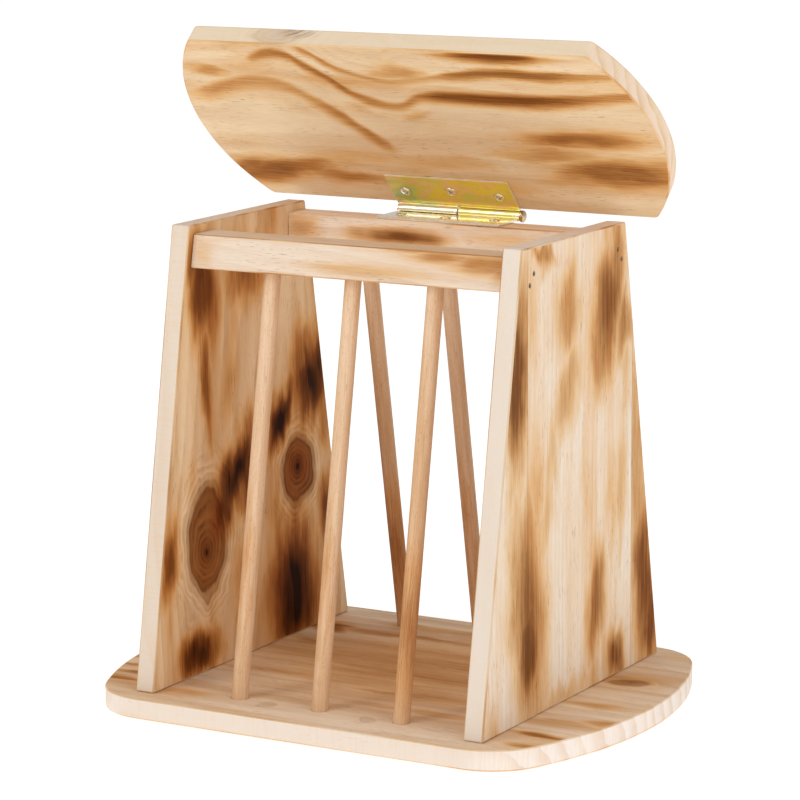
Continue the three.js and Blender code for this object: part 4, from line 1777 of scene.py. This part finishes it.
@dataclass
class TopRails:
    """The two rails that join the panels, and the brads through the panels into their ends."""

    width: float = 17.0
    ease: float = 0.6
    slope: float = 0.175
    brad_sunk: float = 0.3
    brad_spread: Point2 = (4.0, 5.0)
    end_ease: float = 0.4
    corner_steps: int = 3
    bleached: tuple[float, float, float, float] = (0.35, 0.2, 0.5, 0.2)

    def brad_places(self) -> list[tuple[str, str, Matrix]]:
        """Name, side and place of each brad, whose head faces out of its panel."""
        found: list[tuple[str, str, Matrix]] = []
        for side, sign in (("left", -1), ("right", 1)):
            panel_low, panel_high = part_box(f"{side}_side_panel")
            outer = (panel_high.x if sign > 0 else panel_low.x) - sign * self.brad_sunk * MM
            for face, facing in (("front", -1), ("back", 1)):
                low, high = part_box(f"{face}_top_rail")
                inner = min(abs(low.y), abs(high.y))
                middle = inner + self.width / 2 * MM
                for n in (0, 1):
                    out, down = (n * step * MM for step in self.brad_spread)
                    point = Vector((outer, facing * (middle + out), (low.z + high.z) / 2 - down))
                    place = turned_matrix(point, Vector((sign, 0, 0)))
                    found.append((f"{face}_rail_brad_{side}_{n + 1}", side, place))
        return found

    def brad_holes(self, side: str | None = None) -> list[Drilling]:
        """Cutters for the brads' holes.

        Args:
            side: The side whose brads are wanted, or None for both.

        Returns:
            One cutter for each brad.
        """
        return [
            Drilling(BRAD.hole(), place)
            for _, brad_side, place in self.brad_places()
            if side in (None, brad_side)
        ]

    def blank(self, name: str, facing: int, depth: float, height: float, length: float) -> bpy.types.Mesh:
        """Makes a rail along its own +X, whose outer face leans with the panels' edges.

        Args:
            name: The mesh's name.
            facing: -1 for the front rail and 1 for the back one.
            depth: Its depth at the foot, from its inner face to its outer one.
            height: Its height.
            length: Its length.

        Returns:
            The rail, before its holes are cut.
        """
        inside = -facing * depth / 2
        outside = facing * depth / 2
        top = facing * (depth / 2 - self.slope * height)
        corners = [(inside, -height / 2), (outside, -height / 2), (top, height / 2), (inside, height / 2)]
        bleached = list(self.bleached)
        if facing < 0:
            corners.reverse()
            bleached = [bleached[2], bleached[1], bleached[0], bleached[3]]
        outline = rounded_outline(corners, self.ease, self.corner_steps)
        walls: list[dict[Layer, float]] = []
        for n in range(len(outline)):
            corner, step = divmod(n, self.corner_steps + 1)
            eased = 1.0 if step < self.corner_steps else 0.0
            walls.append({Layer.SAWN: bleached[corner % len(corners)], Layer.EASED: eased})
        ends = {Layer.SAWN: 1.0, Layer.END_GRAIN: 1.0}
        along_x = Matrix(((0, 0, 1), (1, 0, 0), (0, 1, 0))).to_4x4()
        maker = MeshMaker()
        maker.prism(outline, -length / 2, length / 2, self.end_ease, walls, ends, along_x, 2)
        return maker.mesh(name)

    def front_finish(self) -> FlamedPine:
        """Pale face with a tan figure towards the browned right end."""
        return FlamedPine(
            "front_rail_flamed_pine", 58.0, pith=(-18.0, -34.0), spacing=6.5, tilt=0.09, wander=5.0,
            pale=(0.79, 0.655, 0.525), honey=(0.75, 0.56, 0.39), late_share=0.42, toast=0.25, edge_char=0.5,
            sawn=(0.76, 0.64, 0.53),
            dark_patches=(
                DarkPatch((74, -8, 3.6), (24, 6, 5.4), 0.56), DarkPatch((52, -8, 5.6), (22, 6, 3.6), 0.52),
                DarkPatch((34, -7, 8), (15, 6, 2.2), 0.46), DarkPatch((84, -8, 2), (10, 6, 6), 0.5),
                DarkPatch((10, -9, -3), (40, 5, 3), 0.3), DarkPatch((-40, 0, 8), (44, 10, 2), 0.2),
                DarkPatch((30, 0, 8), (60, 9, 2), 0.22), DarkPatch((-78, -9, 0), (8, 5, 9), 0.22),
                DarkPatch((0, 8, 0), (80, 4, 8), 0.45),
            ),
        )

    def back_finish(self) -> FlamedPine:
        """The same wood with browned patches on the inner face."""
        return FlamedPine(
            "back_rail_flamed_pine", 64.0, pith=(24.0, -30.0), spacing=5.5, tilt=-0.06, wander=4.0,
            pale=(0.94, 0.81, 0.67), honey=(0.88, 0.67, 0.47), late_share=0.36, toast=0.25, edge_char=0.5,
            sawn=(0.92, 0.82, 0.73),
            dark_patches=(
                DarkPatch((-20, -9, 0), (26, 6, 4.5), 0.9), DarkPatch((-73, -9, 2), (11, 5, 6), 0.55),
                DarkPatch((40, -9, 2), (30, 5, 4), 0.25), DarkPatch((20, 0, 8), (70, 10, 4), 0.3),
                DarkPatch((-60, 9, 0), (24, 5, 8), 0.6), DarkPatch((40, 9, 0), (30, 5, 8), 0.5),
            ),
        )

    def build(self, sockets: dict[str, list[Drilling]]) -> None:
        """Makes and dresses the rails and the brads.

        Args:
            sockets: Each rail's holes for bars and hinge screws, by its face.
        """
        for face, facing, finish in (("front", -1, self.front_finish()), ("back", 1, self.back_finish())):
            node = f"{face}_top_rail"
            low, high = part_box(node)
            inner = min(abs(low.y), abs(high.y)) / MM
            outer = max(abs(low.y), abs(high.y)) / MM
            centre = (inner + outer) / 2
            blank = self.blank(node, facing, outer - inner, (high.z - low.z) / MM, (high.x - low.x) / MM)
            place = Matrix.Translation(Vector((0, facing * centre * MM, (low.z + high.z) / 2)))
            mesh = bored(blank, place, [*sockets[face], *self.brad_holes()])
            place_piece(f"flamed_{node}", mesh, place, Body.RACK, node, finish.material())
        steel = BrightSteel("brad_steel", 8.0, (0.16, 0.12, 0.09), (0.05, 0.035, 0.025)).material()
        stock = BRAD.mesh("brad")
        for node, _, place in self.brad_places():
            place_piece(f"steel_{node}", stock.copy(), place, Body.RACK, node, steel)


@dataclass
class LidBoard(Board):
    """The bow-ended lid on the hinge."""

    place: Matrix = field(default_factory=Matrix)
    straight: float = 214.0
    depth: float = 113.0
    bow: float = 20.0
    corner_r: float = 4.0
    thickness: float = 10.0
    edge_gap: float = 2.57
    seat: float = 2.3

    def finish(self) -> FlamedPine:
        """Honey pine whose underside has wandering brown bands and browned patches."""
        main_line = (
            (-135, -30), (-100, -36), (-77, -45.5), (-60, -50), (-48, -42.5), (-37, -33), (-27, -23),
            (-18, -18), (-7, -16), (10, -24), (44, -25), (79, -25.5), (135, -33),
        )
        upper_line = (
            (-135, -55), (-60, -56), (-45, -53), (-34, -44), (-21, -37), (-8, -33), (8, -35), (32, -40),
            (60, -43.5), (85, -42), (135, -45),
        )
        broad_line = (
            (-135, -16), (-115, -19.5), (-96, -27), (-79, -30.5), (-67, -28.5), (-54, -18.5), (-43, -9.5),
            (-33, 3), (-24, 12), (0, 24), (135, 24),
        )
        near_line = ((-135, -54), (0, -54), (30, -54), (60, -54), (135, -53))
        main_depth = (
            (-135, 0), (-85, 0.03), (-74, 0.4), (-50, 0.52), (-20, 0.45), (0, 0.4), (22, 0.62), (70, 0.68),
            (105, 0.46), (135, 0.4),
        )
        upper_depth = (
            (-135, 0), (-50, 0.05), (-44, 0.4), (-15, 0.33), (15, 0.3), (35, 0.54), (75, 0.62), (95, 0.46),
            (135, 0.25),
        )
        broad_depth = (
            (-135, 0), (-122, 0.15), (-100, 0.36), (-60, 0.34), (-34, 0.46), (-24, 0.34), (-12, 0),
            (135, 0),
        )
        near_depth = ((-135, 0), (10, 0), (30, 0.3), (58, 0.72), (85, 0.3), (110, 0), (135, 0))
        return FlamedPine(
            "lid_flamed_pine", 72.0, pith=(70.0, 64.0), spacing=6.0, tilt=-0.03, wander=4.0,
            pale=(0.86, 0.68, 0.45), honey=(0.77, 0.55, 0.33), late_share=0.34, toast=0.28, edge_char=0.3,
            sawn=(0.80, 0.66, 0.49), end_wood=(0.84, 0.66, 0.54), end_rings=0.75, figure=main_line,
            knots=(Knot((-60, -56.5, 0.5), (13, 8, 5.5), 3.0, 0.2),),
            streaks=(
                Streak(main_line, main_depth, 7.4, UNDER_FACE),
                Streak(upper_line, upper_depth, 6.4, UNDER_FACE),
                Streak(broad_line, broad_depth, 12.5, UNDER_FACE),
                Streak(near_line, near_depth, 5.6, UNDER_FACE),
            ),
            dark_patches=(
                *face_patches(UNDER_FACE, (
                    (-98, 37, 40, 10, 0.6, -10), (-112, 35, 20, 9, 0.54, -12),
                    (-56, 39, 30, 5, 0.46, 2), (86, 2, 36, 8, 0.54, -4), (98, 26, 42, 12, 0.6, -3),
                    (112, 27, 18, 9, 0.6, 0), (65, 15, 28, 7, 0.38, 0), (-1, -40, 14, 7, 0.36, 0),
                    (1, -10, 9, 6, 0.24, 0), (-104, -36, 16, 3, 0.35, 10), (30, 40, 30, 8, 0.2, 0),
                )),
                *face_patches(UPPER_FACE, (
                    (-66, -16, 66, 7, 0.66, 5), (-40, -8, 40, 4, 0.5, 3), (56, 16, 74, 8, 0.6, -4),
                    (84, 24, 40, 5, 0.55, -6), (-36, 36, 60, 5, 0.55, -2), (76, -34, 56, 6, 0.6, 4),
                    (100, -26, 26, 4, 0.45, 8), (-108, 16, 26, 8, 0.45, -8), (4, -44, 50, 5, 0.4, 0),
                    (0, 0, 90, 30, 0.2, 0),
                )),
            ),
            bark=(((-48, -56.5, 2.6), (15, 4, 4.6)),),
        )

    def build(self, holes: Sequence[Drilling]) -> None:
        """Makes and dresses the lid.

        Args:
            holes: Cutters for the hinge's screws.
        """
        centre = Vector((0, -self.edge_gap - self.depth / 2, self.seat + self.thickness / 2)) * MM
        place = self.place @ Matrix.Translation(centre)
        outline = bow_ended_outline(self.straight, self.depth, self.bow, self.corner_r)
        mesh = bored(self.blank("lid_board", outline, self.thickness), place, holes)
        pine = self.finish().material()
        place_piece("flamed_lid_board", mesh, place, Body.LID, "lid_board", pine)


# ---------------------------------------------------------------- studio


@dataclass
class Studio:
    """Pale floor, soft light and the camera."""

    azimuth: float = 29.748
    elevation: float = 10.647
    roll: float = -0.383
    distance: float = 1.66556
    lens_mm: float = 156.26
    look_at: Point3 = (0.0001, 0.0, 0.14459)
    lamp_aim: Point3 = (0.0, 0.0, 0.14)
    air_strength: float = 0.6
    floor_gap: float = 0.3
    floor_half: float = 30.0
    floor_colour: Colour = (0.93, 0.93, 0.93)
    floor_roughness: float = 0.9
    floor_gloss: float = 0.1
    floor_glow: float = 0.46

    def camera(self) -> None:
        """Adds the camera."""
        turn = math.radians(self.azimuth)
        rise = math.radians(self.elevation)
        back = Vector((math.sin(turn) * math.cos(rise), -math.cos(turn) * math.cos(rise), math.sin(rise)))
        data = bpy.data.cameras.new("camera")
        data.lens = self.lens_mm
        data.sensor_width = 36.0
        data.clip_start = 0.05
        camera = bpy.data.objects.new("camera", data)
        bpy.context.scene.collection.objects.link(camera)
        aim = (-back).to_track_quat("-Z", "Y").to_matrix().to_4x4()
        place = Matrix.Translation(Vector(self.look_at) + back * self.distance)
        camera.matrix_world = place @ aim @ Matrix.Rotation(math.radians(self.roll), 4, "Z")
        bpy.context.scene.camera = camera

    def floor(self) -> None:
        """Adds the floor."""
        maker = bmesh.new()
        bmesh.ops.create_grid(maker, x_segments=1, y_segments=1, size=self.floor_half)
        mesh = bpy.data.meshes.new("floor")
        maker.to_mesh(mesh)
        maker.free()
        floor = bpy.data.objects.new("floor", mesh)
        floor.location.z = -self.floor_gap * MM
        bpy.context.scene.collection.objects.link(floor)
        material = bpy.data.materials.new("pale_floor")
        material.use_nodes = True
        shader = material.node_tree.nodes["Principled BSDF"]
        looks = {
            "Base Color": (*self.floor_colour, 1.0),
            "Roughness": self.floor_roughness,
            "Specular IOR Level": self.floor_gloss,
            "Emission Color": (1.0, 1.0, 1.0, 1.0),
            "Emission Strength": self.floor_glow,
        }
        for name, value in looks.items():
            shader.inputs[name].default_value = value
        mesh.materials.append(material)

    def lamp(self, name: str, place: Point3, size: float, watts: float) -> None:
        """Adds a soft square lamp aimed at the rack.

        Args:
            name: The lamp's name.
            place: Where it hangs, in metres.
            size: The length of its side, in metres.
            watts: Its power.
        """
        data = bpy.data.lights.new(name, "AREA")
        data.size = size
        data.energy = watts
        lamp = bpy.data.objects.new(name, data)
        bpy.context.scene.collection.objects.link(lamp)
        away = Vector(place) - Vector(self.lamp_aim)
        lamp.matrix_world = Matrix.Translation(place) @ away.to_track_quat("Z", "Y").to_matrix().to_4x4()

    def build(self) -> None:
        """Sets up the whole studio."""
        scene = bpy.context.scene
        scene.view_settings.view_transform = "Standard"
        scene.view_settings.look = "None"
        world = bpy.data.worlds.new("studio_air")
        world.use_nodes = True
        background = world.node_tree.nodes["Background"]
        background.inputs["Color"].default_value = (1.0, 1.0, 1.0, 1.0)
        background.inputs["Strength"].default_value = self.air_strength
        scene.world = world
        self.floor()
        self.lamp("key", (-0.9, -1.5, 1.5), 0.8, 9.5)
        self.lamp("side", (1.8, -0.7, 1.0), 1.1, 8.0)
        self.lamp("front", (0.4, -2.2, 0.5), 1.4, 5.0)
        self.camera()


# ---------------------------------------------------------------- assembly


def hinge_frame() -> tuple[Vector, Matrix]:
    """Finds the hinge from the frame's joint.

    Returns:
        A point on the hinge axis, and the place of the closed lid's own frame as the lid stands now.
    """
    joint = next(j for j in frame["joints"] if j["name"] == "lid_hinge")
    axis = Vector(joint["pos_m"])
    opened = abs(joint["range_deg"][0])
    return axis, Matrix.Translation(axis) @ Matrix.Rotation(-math.radians(opened), 4, "X")


def main() -> None:
    """Builds every sub-assembly in order."""
    logging.basicConfig(level=logging.INFO, format="%(name)s: %(message)s", force=True)
    axis, lid_place = hinge_frame()
    hinge = Hinge(axis, lid_place)
    bars = DowelBars()
    base = BaseBoard()
    rails = TopRails()
    sockets = bars.sockets()
    front, back = sockets[:3], sockets[3:]
    base.build(sockets)
    screws = base.screw_holes()
    SidePanels().build({
        "left": [*rails.brad_holes("left"), *screws[:3]],
        "right": [*rails.brad_holes("right"), *screws[3:]],
    })
    rails.build({"front": front, "back": [*back, *hinge.holes(hinge.frame_place)]})
    bars.build()
    hinge.build()
    LidBoard(place=lid_place).build(hinge.holes(hinge.lid_leaf_place))
    Studio().build()


if __name__ == "__main__":
    main()
